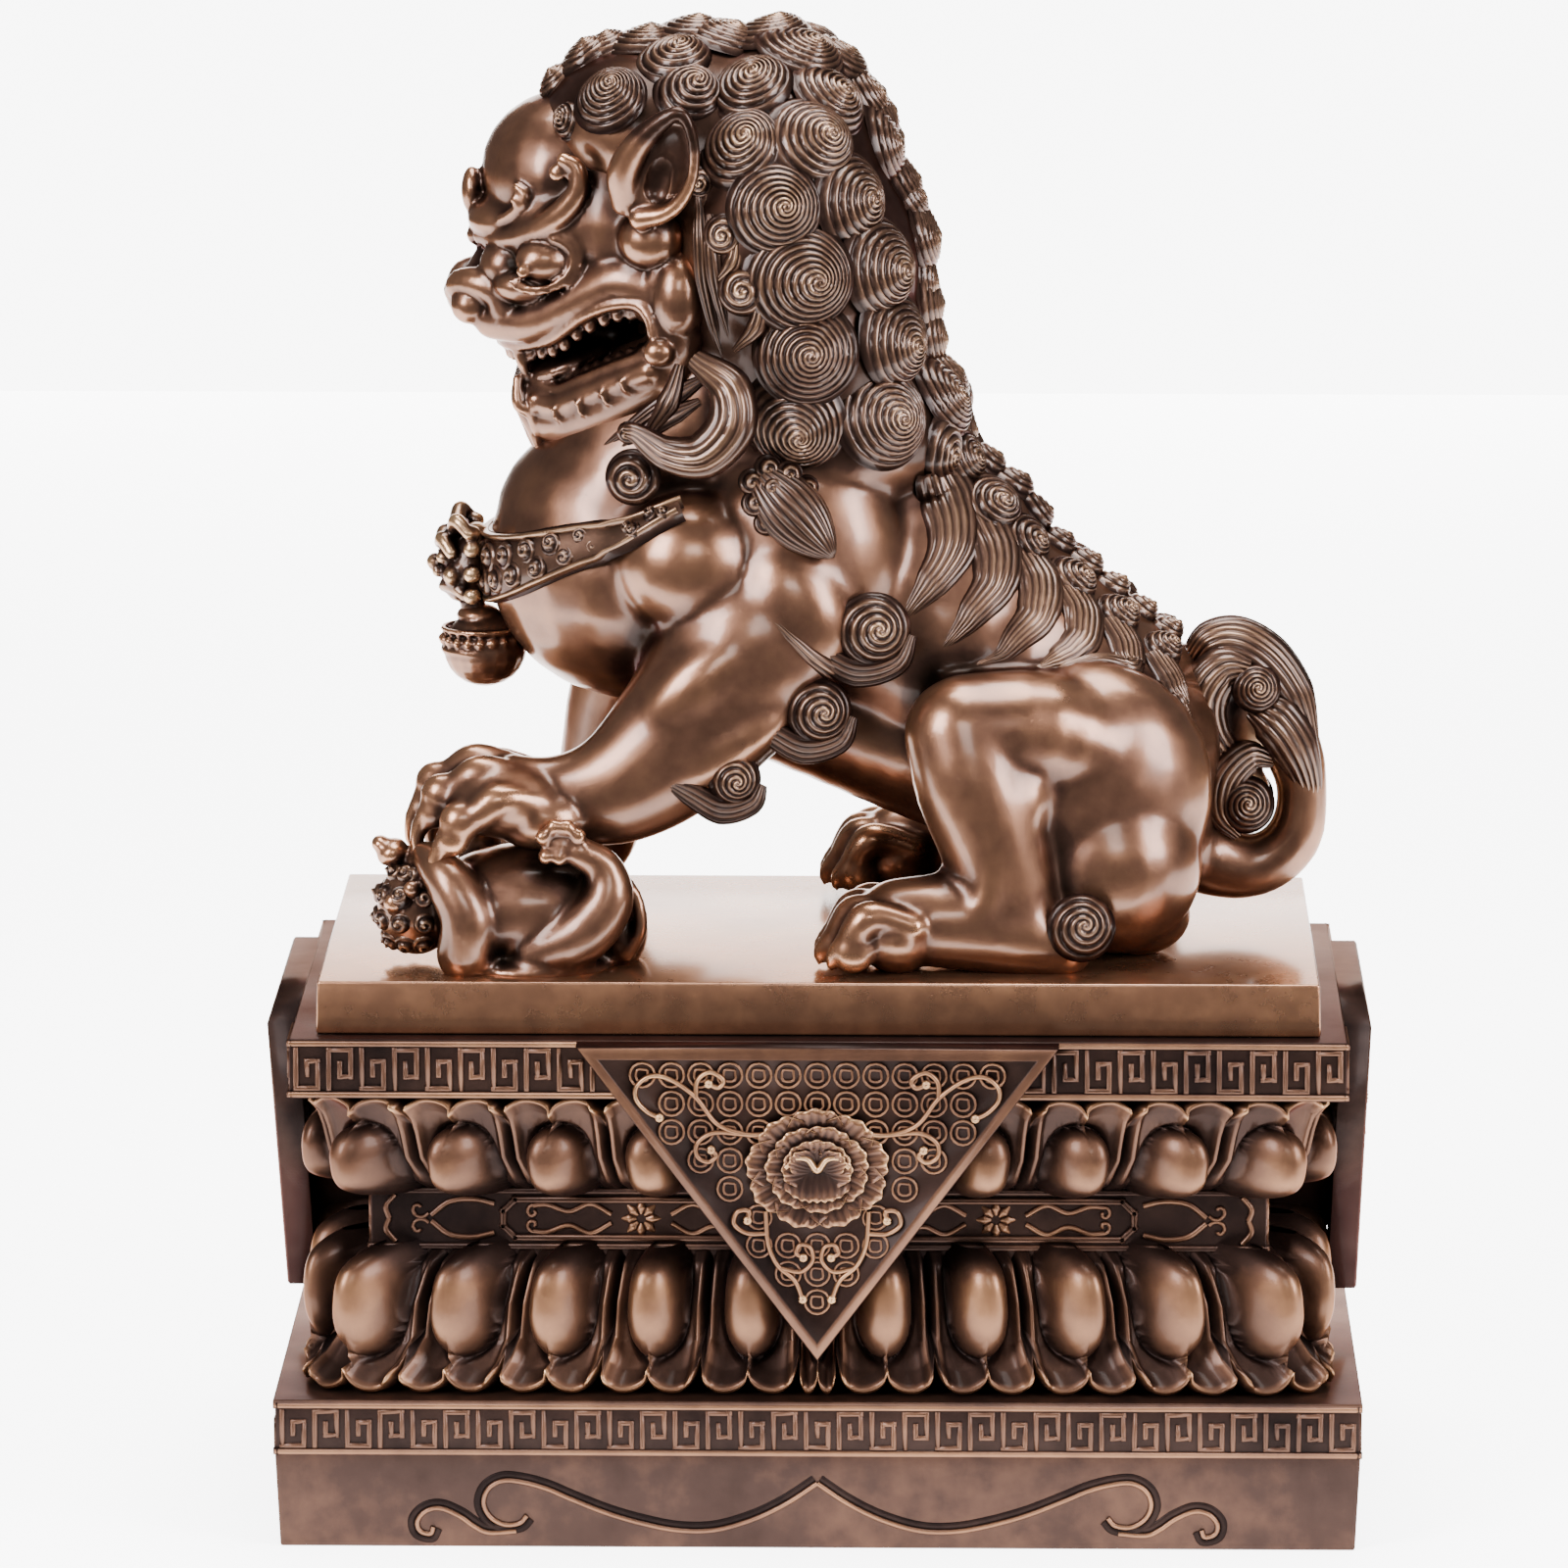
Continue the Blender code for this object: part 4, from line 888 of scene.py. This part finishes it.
for facing, sort in FACINGS:
    wide, deep = (BASE_HALF_X, BASE_HALF_Y) if sort == "long" else (BASE_HALF_Y, BASE_HALF_X)
    fret(frets, wide - 0.6, FRET_LOW, BASE_TOP - 1.2, facing, deep - 0.4)
    wide, deep = (CORNICE_HALF_X, CORNICE_HALF_Y) if sort == "long" else (CORNICE_HALF_Y, CORNICE_HALF_X)
    fret(frets, wide - 1.2, CORNICE_LOW + 0.3, CORNICE_TOP - 0.2, facing, deep - 0.9)
frets.shown("key_frets", "lotus_pedestal", PATINA)


def scroll(relief, path, half, proud, facing, reach, ribs=0, count=None, wear_and_shade=0.3, lean=0.0):
    """A raised round-topped line along a path of (along, up) on a face that leans out by lean upward."""
    line = [(x, lean * z, z) for x, z in path]
    line = faced(line, facing, reach)
    up = faced([(0, 1, 0)], facing, 0)[0]
    ribbon(relief, line, half if np.ndim(half) else (half, half), proud if np.ndim(proud) else (proud, proud), up, ribs,
           count or len(path) * 6, wear_and_shade)


def wound(x, z, start, turns, reach, end=0.12, count=12):
    """Places of a flat spiral on a face, from its outside in."""
    return [(x + reach * (1 - (1 - end) * t) * math.cos(math.radians(start) + 2 * math.pi * turns * t),
             z + reach * (1 - (1 - end) * t) * math.sin(math.radians(start) + 2 * math.pi * turns * t))
            for t in np.linspace(0, 1, count)]


aprons = Relief()
for facing, sort in FACINGS:
    squeeze = 1.0 if sort == "long" else 0.56
    reach = (BASE_HALF_Y if sort == "long" else BASE_HALF_X) - 1.5
    wave = ((0, 22.6), (-10.2, 15.6), (-21.4, 10), (-34, 6.3), (-46, 6.1), (-58, 8.4), (-70, 12), (-82, 16.9), (-90, 20.4), (-98, 22.6),
            (-104.5, 23), (-109.2, 20.2), (-110.8, 15.2), (-108.4, 10.3), (-103.7, 7.8), (-98.9, 8.4), (-96.5, 11))
    curl = ((-100, 5.6), (-109, 5), (-114, 7.2), (-119, 10.8), (-125.2, 13.4), (-130, 12.4), (-132.8, 9), (-132, 5.6), (-128.6, 4.6), (-127.6, 7))
    for hand in SIDES:
        for path in (wave, curl):
            line = np.array([(-hand * x * squeeze, z) for x, z in path])
            scroll(aprons, line, 1.1, 1.6, facing, reach, 0, None, 0.12, 0.046)
            across = np.gradient(line, axis=0)[:, ::-1] * np.array((hand, -hand))
            across /= np.linalg.norm(across, axis=1, keepdims=True)
            scroll(aprons, line - 2.1 * across, 1.5, 1.1, facing, reach, 0, None, -0.5, 0.046)
aprons.shown("base_aprons", "lotus_pedestal", PATINA)


# Lotus petals: each a swelling bud inside a flange whose lip flares out and parts in the middle.
# The upper row is the lower one turned over.

PETAL_HALF_X, PETAL_HALF_Y, PETAL_CORNER = 171.5, 95.5, 20.0
PETAL_PITCH, CENTRE_BUD = 33.5, 12.8
LONG_PETALS, SHORT_PETALS = 10, 5


def outline(half_x, half_y, corner, walk):
    """Points reached by walking round a rounded rectangle from the middle of its +X side."""
    straight_x, straight_y, arc = 2 * (half_x - corner), 2 * (half_y - corner), math.pi / 2 * corner
    walk = (walk + straight_y / 2) % (2 * straight_x + 2 * straight_y + 4 * arc)
    for run, turn in ((straight_y, 0), (straight_x, 90), (straight_y, 180), (straight_x, 270)):
        facing = math.radians(turn)
        out = np.array((math.cos(facing), math.sin(facing)))
        along = np.array((-out[1], out[0]))
        near = half_x if turn in (0, 180) else half_y
        far = half_y if turn in (0, 180) else half_x
        if walk <= run:
            return out * near + along * (walk - run / 2)
        walk -= run
        if walk <= arc:
            bend = facing + walk / corner
            return out * (near - corner) + along * (far - corner) + np.array((math.cos(bend), math.sin(bend))) * corner
        walk -= arc


def petal_edges():
    """Where the grooves between petals fall along the outline, for one whole walk round."""
    whole = 4 * (PETAL_HALF_X + PETAL_HALF_Y) - (8 - 2 * math.pi) * PETAL_CORNER
    short = [PETAL_PITCH * (i + 0.5) for i in range(SHORT_PETALS // 2 + 1)]
    middle = whole / 4
    long = [middle - CENTRE_BUD / 2 - PETAL_PITCH * i for i in range(LONG_PETALS // 2)]
    corner = (short[-1] + middle - CENTRE_BUD / 2 - PETAL_PITCH * LONG_PETALS / 2) / 2
    quarter = short[:-1] + [corner] + long[::-1]
    half = quarter + [2 * middle - w for w in reversed(quarter)]
    return half + [w + whole / 2 for w in half], whole


def petal(relief, first, last, root_z, tip_z, spread, bud_mid, bud_size, stages):
    """One petal between two grooves, from the waist at root_z to the two round lobes of the lip at tip_z."""
    u = np.linspace(-1, 1, 41)
    v = np.linspace(0, 1, 46)[:, None]
    base = np.array([outline(PETAL_HALF_X, PETAL_HALF_Y, PETAL_CORNER, first + (last - first) * (k + 1) / 2) for k in u])
    half = (last - first) / 2
    far = np.abs(u)
    lobe = np.where(far < 0.5, 0.15 * (1 - np.sqrt(1 - (1 - far / 0.5) ** 2 * (far < 0.5))),
                    0.27 * (1 - np.sqrt(np.clip(1 - ((far - 0.5) / 0.5) ** 2, 0, 1))))
    down = v * (1 - lobe[None, :])
    flange = np.interp(v + 0 * down, (0, 0.15, 0.45, 0.72, 0.88, 0.97, 1.0), stages) * spread
    rim = 1.6 * np.exp(-(((far[None, :] - 0.85) / 0.07) ** 2)) * np.clip(v * 4, 0, 1)
    groove = -5.0 * np.exp(-(((1 - far)[None, :] / 0.06) ** 2))
    seam = 0.9 * np.exp(-((far[None, :] / 0.035) ** 2)) * np.clip((v - 0.8) * 10, 0, 1)
    across = np.abs(u[None, :]) * half / min(9.9, 0.6 * half)
    inside = 1 - across**2.3 - (np.abs(down - bud_mid) / bud_size) ** 2.7
    bud = (spread * 0.98 - flange * 0.9) * np.sqrt(np.clip(inside, 0, 1)) * (inside > 0)
    dip = -2.4 * np.exp(-(((np.clip(inside, -1, 0) + 0.14) / 0.15) ** 2)) * (inside < 0.02)
    reach = np.minimum(flange + rim + groove + seam + bud + dip, spread + 1.2)
    inset = spread - reach
    x = base[None, :, 0] * (1 - inset / PETAL_HALF_X)
    y = base[None, :, 1] * (1 - inset / PETAL_HALF_Y)
    z = root_z + (tip_z - root_z) * down
    wear_and_shade = np.clip(0.3 + 0.028 * bud + 0.14 * rim + 0.3 * seam + 0.08 * groove + 0.13 * dip + 8 * np.clip(v - 0.955, 0, 1), 0, 1)
    wear_and_shade = wear_and_shade * np.clip(0.25 + 3.2 * v, 0, 1)
    points = np.stack([x, y, z + 0 * x], axis=-1)
    lip = np.array((0, 0, 1.2 * np.sign(tip_z - root_z)))
    under = points[-1:] * np.array((0.965, 0.95, 1.0)) + lip
    points = np.concatenate([points, points[-1:] * np.array((0.997, 0.995, 1.0)) + lip, under])
    relief.grid(points, np.concatenate([wear_and_shade, np.full((1, len(u)), 0.75), np.full((1, len(u)), 0.1)]))


edges, whole = petal_edges()
for name, root_z, tip_z, spread, bud_mid, bud_size, stages in (
        ("lower_petals", 98.5, 52.6, 24.5, 0.37, 0.42, (-0.02, 0.3, 0.5, 0.56, 0.76, 0.96, 1.0)),
        ("upper_petals", 115.0, 150.2, 23.0, 0.36, 0.37, (-0.02, 0.36, 0.6, 0.68, 0.75, 0.84, 0.88))):
    row = Relief()
    for first, last in zip(edges, edges[1:] + [edges[0] + whole]):
        petal(row, first, last, root_z, tip_z, spread, bud_mid, bud_size, stages)
    row.shown(name, "lotus_pedestal", PATINA)


# The waist between the petals, with framed strapwork, flowers and a heart at each end.

WAIST_HALF_X, WAIST_HALF_Y = 149.0, 74.0
block(WAIST_HALF_X, WAIST_HALF_Y, 46.0, 154.0, 0.0, 0.5, "waist", "lotus_pedestal", PATINA, 0.1)
straps = Relief()
LOW, HIGH = 97.5, 114.5
for facing, sort in FACINGS:
    half = WAIST_HALF_X if sort == "long" else WAIST_HALF_Y
    reach = WAIST_HALF_Y if sort == "long" else WAIST_HALF_X
    mid = (LOW + HIGH) / 2
    for z in (LOW - 1, HIGH + 1):
        bar(straps, (-half, z), (half, z), 0.8, 1.2, facing, reach, 0.3)
    frame_half = half - 44 if sort == "long" else half - 30
    for hand in SIDES:
        for a, b in (((0, LOW + 2), (frame_half - 4, LOW + 2)), ((0, HIGH - 2), (frame_half - 4, HIGH - 2)),
                     ((frame_half - 4, LOW + 2), (frame_half, LOW + 6)), ((frame_half - 4, HIGH - 2), (frame_half, HIGH - 6)),
                     ((frame_half, LOW + 6), (frame_half, HIGH - 6))):
            bar(straps, (hand * a[0], a[1]), (hand * b[0], b[1]), 0.9, 1.4, facing, reach, 0.4)
        end = half - 14 if sort == "long" else half - 12
        for flip in SIDES:
            for path, w in ((wound(end - 2, mid + flip * 3.4, -flip * 150, flip * 0.8, 3.6), 0.9),
                            (((end - 6, mid + flip * 1), (end - 12, mid + flip * 5.5), (end - 20, mid + flip * 6.5), (end - 27, mid + flip * 5)), 1.3),
                            (((end + 8, mid), (end + 9, mid + flip * 4), (end + 6, mid + flip * 8)), 1.2)):
                scroll(straps, [(hand * x, z) for x, z in path], w, 1.5, facing, reach, 0, None, 0.05)
        if sort == "long":
            flower = frame_half - 46
            for flip in SIDES:
                for x0 in (flower - 10, flower + 10):
                    away = 1 if x0 > flower else -1
                    scroll(straps, [(hand * x, z) for x, z in ((x0, mid + flip * 1.5), (x0 + away * 7, mid + flip * 5), (x0 + away * 14, mid + flip * 2.4),
                                                              (x0 + away * 21, mid + flip * 4.6), (x0 + away * 26, mid + flip * 4.4))], 1.2, 1.6, facing, reach, 0, None, 0.05)
                    scroll(straps, [(hand * x, z) for x, z in wound(x0 + away * 26, mid + flip * 2.2, flip * 90, -away * flip * 0.9, 2.4)], 0.9, 1.5, facing, reach, 0, None, 0.05)
            for k in range(8):
                a = math.radians(45 * k)
                scroll(straps, [(hand * flower + 1.6 * math.cos(a), mid + 1.6 * math.sin(a)), (hand * flower + 4 * math.cos(a), mid + 4 * math.sin(a)),
                                (hand * flower + 7 * math.cos(a), mid + 7 * math.sin(a))], (0.8, 2.1, 0.3), (1.2, 1.8, 0.4), facing, reach, 0, None, 0.1)
straps.shown("waist_straps", "lotus_pedestal", PATINA)


# Four cloth drapes over the cornice: a raised hem round a ground of coins, a peony and scrolling stems.

DRAPE_TOP, DRAPE_TIP, DRAPE_PROUD, DRAPE_LEAN = CORNICE_TOP - 0.3, 65.0, 8.3, 1.5
HEM = 3.4


def drape_half(z, half):
    return half * (z - DRAPE_TIP) / (DRAPE_TOP - DRAPE_TIP)


for facing, sort in FACINGS:
    half = 79.5 if sort == "long" else 69.0
    reach = (CORNICE_HALF_Y if sort == "long" else CORNICE_HALF_X) + DRAPE_PROUD - 1.3
    cloth = Relief()
    slope = DRAPE_LEAN / (DRAPE_TOP - DRAPE_TIP)

    def leaning(points):
        points = np.array(points, dtype=float)
        points[..., 1] -= slope * (DRAPE_TOP - points[..., 2])
        return points

    def laid(path, w, h, ribs=0, wear_and_shade=0.35, count=None):
        line = faced(leaning([(x, 0.0, z) for x, z in path]), facing, reach)
        up = faced([(0, 1, 0)], facing, 0)[0]
        ribbon(cloth, line, w if np.ndim(w) else (w, w), h if np.ndim(h) else (h, h), up, ribs, count or len(path) * 5, wear_and_shade)

    apex = DRAPE_TIP
    for proud, inset, wear_here in ((-8.6, 0.0, 0.02), (0.6, 0.0, 0.12), (1.3, 0.5, 0.55), (1.3, HEM - 0.4, 0.5), (1.0, HEM, 0.35), (0.0, HEM + 0.2, 0.1)):
        ring = [(inset * 2.1 - half, proud, DRAPE_TOP - inset * 1.25), (half - inset * 2.1, proud, DRAPE_TOP - inset * 1.25), (0, proud, apex + inset * 1.75)]
        if proud == -8.6:
            rings, wears = [], []
        rings.append(ring)
        wears.append([wear_here] * 3)
    centre = [(0, 0.0, 140.0)] * 3
    rings.append(centre)
    wears.append([0.24] * 3)
    cloth.grid(faced(leaning(rings), facing, reach), np.array(wears), True)
    angles = np.linspace(0, 2 * math.pi, 17)
    pitch = 9.6
    for j in range(12):
        z = DRAPE_TOP - 9.5 - pitch * j
        room = drape_half(z, half) - 9.5
        count = int(room / pitch)
        for i in range(-count, count + 1):
            if room < 0 or (i * pitch) ** 2 / 26**2 + (z - 130) ** 2 / 20**2 < 0.8:
                continue
            laid([(i * pitch + 4.1 * math.cos(a), z + 4.1 * math.sin(a)) for a in angles], 0.6, 1.2, 0, 0.15, 17)
            laid([(i * pitch + 1.7 * x, z + 1.7 * y) for x, y in ((1, 1), (-1, 1), (-1, -1), (1, -1), (1, 1))], 0.6, 1.0, 0, 0.1, 13)
    for hand in SIDES:
        for path, w in ((((17, 142), (24, 142), (33, 145.5), (40, 154.5), (48.5, 160.5), (55, 161.5), (59.5, 158), (59.5, 153.5), (56, 149.5), (52, 147.5)), 1.05),
                        (((40, 154.5), (39.5, 160), (35.5, 163), (31, 160.5), (32.5, 157.8), (35.8, 159)), 1.1),
                        (((24, 142), (34, 142.5), (39.5, 139), (39.5, 134.5), (36, 132.6), (33.3, 134.7), (35, 136.7)), 1.05),
                        (((17, 116), (16.2, 105), (13, 97.5), (7.5, 92.5), (4.8, 86)), 1.05),
                        (((16.8, 108.4), (23, 108.4), (27.4, 111.5), (26.4, 115.7), (22.5, 116), (23, 112.8)), 1.05),
                        (((12, 96.6), (5.5, 95.4), (1.6, 99), (2.2, 103.6), (5.6, 104.6), (7, 101.8), (4.6, 100.2)), 1.0)):
            if sort == "short":
                path = [(x * 0.87, z) for x, z in path]
            laid([(hand * x, z) for x, z in path], w, 1.9, 0, 0.3)
            laid([(hand * (path[-1][0] + 0.8 * math.cos(a)), path[-1][1] + 0.8 * math.sin(a)) for a in angles], 1.0, 2.0, 0, 0.55, 9)
    bloom = Relief()

    def ruffled(turn, ring, length, width, lift, frills=1.5, fold=0.0, veins=3.5):
        """One fan-shaped peony petal with a frilled edge and veins, pointing away from the heart of the flower."""
        a = math.radians(turn)
        out, aside = np.array((math.cos(a), math.sin(a))), np.array((-math.sin(a), math.cos(a)))
        s = np.linspace(0, 1, 15)[:, None]
        t = np.linspace(-1, 1, 31)[None, :]
        edge = 1 - 0.38 * np.abs(t) ** 3 + 0.035 * np.cos(frills * 2 * math.pi * t)
        along = ring + length * s * edge
        wide = width * t * np.sin(math.pi * (0.14 + 0.44 * s)) * (1 - 0.06 * s)
        veined = 0.34 * np.cos(veins * 2 * math.pi * t) * s * (1 - 0.5 * s)
        rise = lift + 1.5 * s**3 - 0.5 * t**2 + veined - fold * np.exp(-((t / 0.25) ** 2)) * s - 1.6 * (1 - s) ** 3
        flat = along[..., None] * out + (wide + 0 * along)[..., None] * aside
        points = np.stack([flat[..., 0], rise + 0 * along, 130.5 + 0.86 * flat[..., 1]], axis=-1)
        under = points[-1:] + np.array((0, -1.6, 0))
        shade = np.clip(0.1 + 0.5 * s**2 + 0.5 * veined + 0.35 * (s > 0.93), 0, 1) + 0 * along
        bloom.grid(faced(leaning(np.concatenate([points, under])), facing, reach), np.concatenate([shade, shade[-1:] * 0.1]))

    for k in range(9):
        ruffled(40 * k + 12, 8.0, 15.5, 10.0, 0.3)
    for k in range(7):
        ruffled(360 / 7 * k + 22, 4.0, 13.0, 9.0, 0.8)
    for k in range(5):
        ruffled(45 * k, 1.0, 10.5, 7.4, 1.3)
    ruffled(-90, 0.0, 12.5, 11.5, 1.6, 4.0, 0.0, 4.5)
    for hand in SIDES:
        ruffled(90 - hand * 62, 0.5, 9.5, 5.4, 1.8, 2.0)
    laid([(x, 131.5 + z) for x, z in ((-10.5, -0.5), (-7, 2.6), (-3, 2.2), (0, -1.6), (3, 2.2), (7, 2.6), (10.5, -0.5))], 1.4, 3.2, 0, 0.6)
    for k in range(9):
        spot = (0.6 + 3.6 * math.cos(k * 0.7) * (k % 3) / 2, 2.2, 136.4 + 2.2 * math.sin(k * 0.7) * (k % 3) / 2)
        snail(bloom, faced(leaning([spot]), facing, reach)[0], faced([(0, 1, 0)], facing, 0)[0], (0, 0, 1), 1.1, 1.0, 1, 1, 5, 8)
    root = [[(-0.62 * half, y, CORNICE_LOW + 3.0), (0.62 * half, y, CORNICE_LOW + 3.0), (0, y, 87.0)] for y in (-6.0, -35.0)]
    cloth.grid(faced(root, facing, reach + 1.3), 0.12, True)
    cloth.points += bloom.points
    first = sum(len(p) for p in cloth.points) - sum(len(p) for p in bloom.points)
    cloth.faces += [f + first for f in bloom.faces]
    cloth.wear_and_shade += bloom.wear_and_shade
    cloth.shown(f"drape_{facing}", "lotus_pedestal", PATINA)


# A pale seamless ground, a long lens looking down a little, and broad soft lamps on both sides and above.

ground = bmesh.new()
bmesh.ops.create_grid(ground, x_segments=1, y_segments=1, size=1.4)
bmesh.ops.translate(ground, vec=(0, 1.05, 0), verts=ground.verts[:])
floor_mesh = bpy.data.meshes.new("ground")
ground.to_mesh(floor_mesh)
ground.free()
floor = bpy.data.objects.new("ground", floor_mesh)
bpy.context.scene.collection.objects.link(floor)
pale = Surface("pale_ground")
pale.shader.inputs["Base Color"].default_value = (0.93, 0.93, 0.93, 1.0)
pale.shader.inputs["Roughness"].default_value = 0.75
pale.shader.inputs["Emission Color"].default_value = (1.0, 1.0, 1.0, 1.0)
pale.shader.inputs["Emission Strength"].default_value = 5.0
floor_mesh.materials.append(pale.material)

lens = bpy.data.cameras.new("camera")
lens.sensor_width = 36.0
lens.lens = 236.25
lens.clip_start, lens.clip_end = 0.05, 60.0
camera = bpy.data.objects.new("camera", lens)
bpy.context.scene.collection.objects.link(camera)
pitch, yaw = math.radians(11.0), math.radians(-1.0)
forward = Vector((math.sin(yaw) * math.cos(pitch), math.cos(yaw) * math.cos(pitch), -math.sin(pitch)))
right = Vector((math.cos(yaw), -math.sin(yaw), 0.0))
upward = right.cross(forward)
stand = Matrix((right, upward, -forward)).transposed().to_4x4()
stand.translation = Vector((0.0467, -3.408, 0.9017))
camera.matrix_world = stand
bpy.context.scene.camera = camera


def lamp(name, place, aim, width, height, power, colour=(1.0, 1.0, 1.0)):
    """A soft rectangular lamp that looks at a place."""
    light = bpy.data.lights.new(name, "AREA")
    light.shape = "RECTANGLE"
    light.size, light.size_y = width, height
    light.energy = power
    light.color = colour
    made = bpy.data.objects.new(name, light)
    bpy.context.scene.collection.objects.link(made)
    made.matrix_world = Matrix.Translation(place) @ (Vector(aim) - Vector(place)).to_track_quat("-Z", "Y").to_matrix().to_4x4()


lamp("left_softbox", (-1.5, -1.6, 1.3), (0, 0, 0.25), 0.9, 1.3, 120.0, (1.0, 0.98, 1.0))
lamp("right_softbox", (1.7, -1.2, 1.0), (0, 0, 0.25), 0.8, 1.2, 88.0, (1.0, 0.98, 1.0))
lamp("top_softbox", (0.1, 0.1, 2.0), (0, 0, 0.2), 1.4, 1.0, 95.0)
lamp("front_softbox", (0.2, -3.2, 1.6), (0, 0, 0.25), 1.0, 0.8, 30.0)
lamp("back_softbox", (0.0, 2.42, 0.92), (0, 0, 0.35), 1.6, 1.3, 52.0)
world = bpy.data.worlds.new("studio")
bpy.context.scene.world = world
world.use_nodes = True
world.node_tree.nodes["Background"].inputs["Color"].default_value = (1.0, 1.0, 1.0, 1.0)
world.node_tree.nodes["Background"].inputs["Strength"].default_value = 0.26

screen = bmesh.new()
bmesh.ops.create_grid(screen, x_segments=1, y_segments=1, size=0.8)
bmesh.ops.transform(screen, matrix=Matrix.Translation((0, 2.4, 0.12)) @ Matrix.Rotation(math.radians(90), 4, "X"), verts=screen.verts[:])
for corner in screen.verts:
    corner.co.z = max(-0.01, min(corner.co.z, 0.25))
screen_mesh = bpy.data.meshes.new("backdrop")
screen.to_mesh(screen_mesh)
screen.free()
backdrop = bpy.data.objects.new("backdrop", screen_mesh)
bpy.context.scene.collection.objects.link(backdrop)
white = Surface("white_backdrop")
white.shader.inputs["Base Color"].default_value = (0.0, 0.0, 0.0, 1.0)
white.shader.inputs["Emission Color"].default_value = (1.0, 1.0, 1.0, 1.0)
white.shader.inputs["Emission Strength"].default_value = 8.0
screen_mesh.materials.append(white.material)
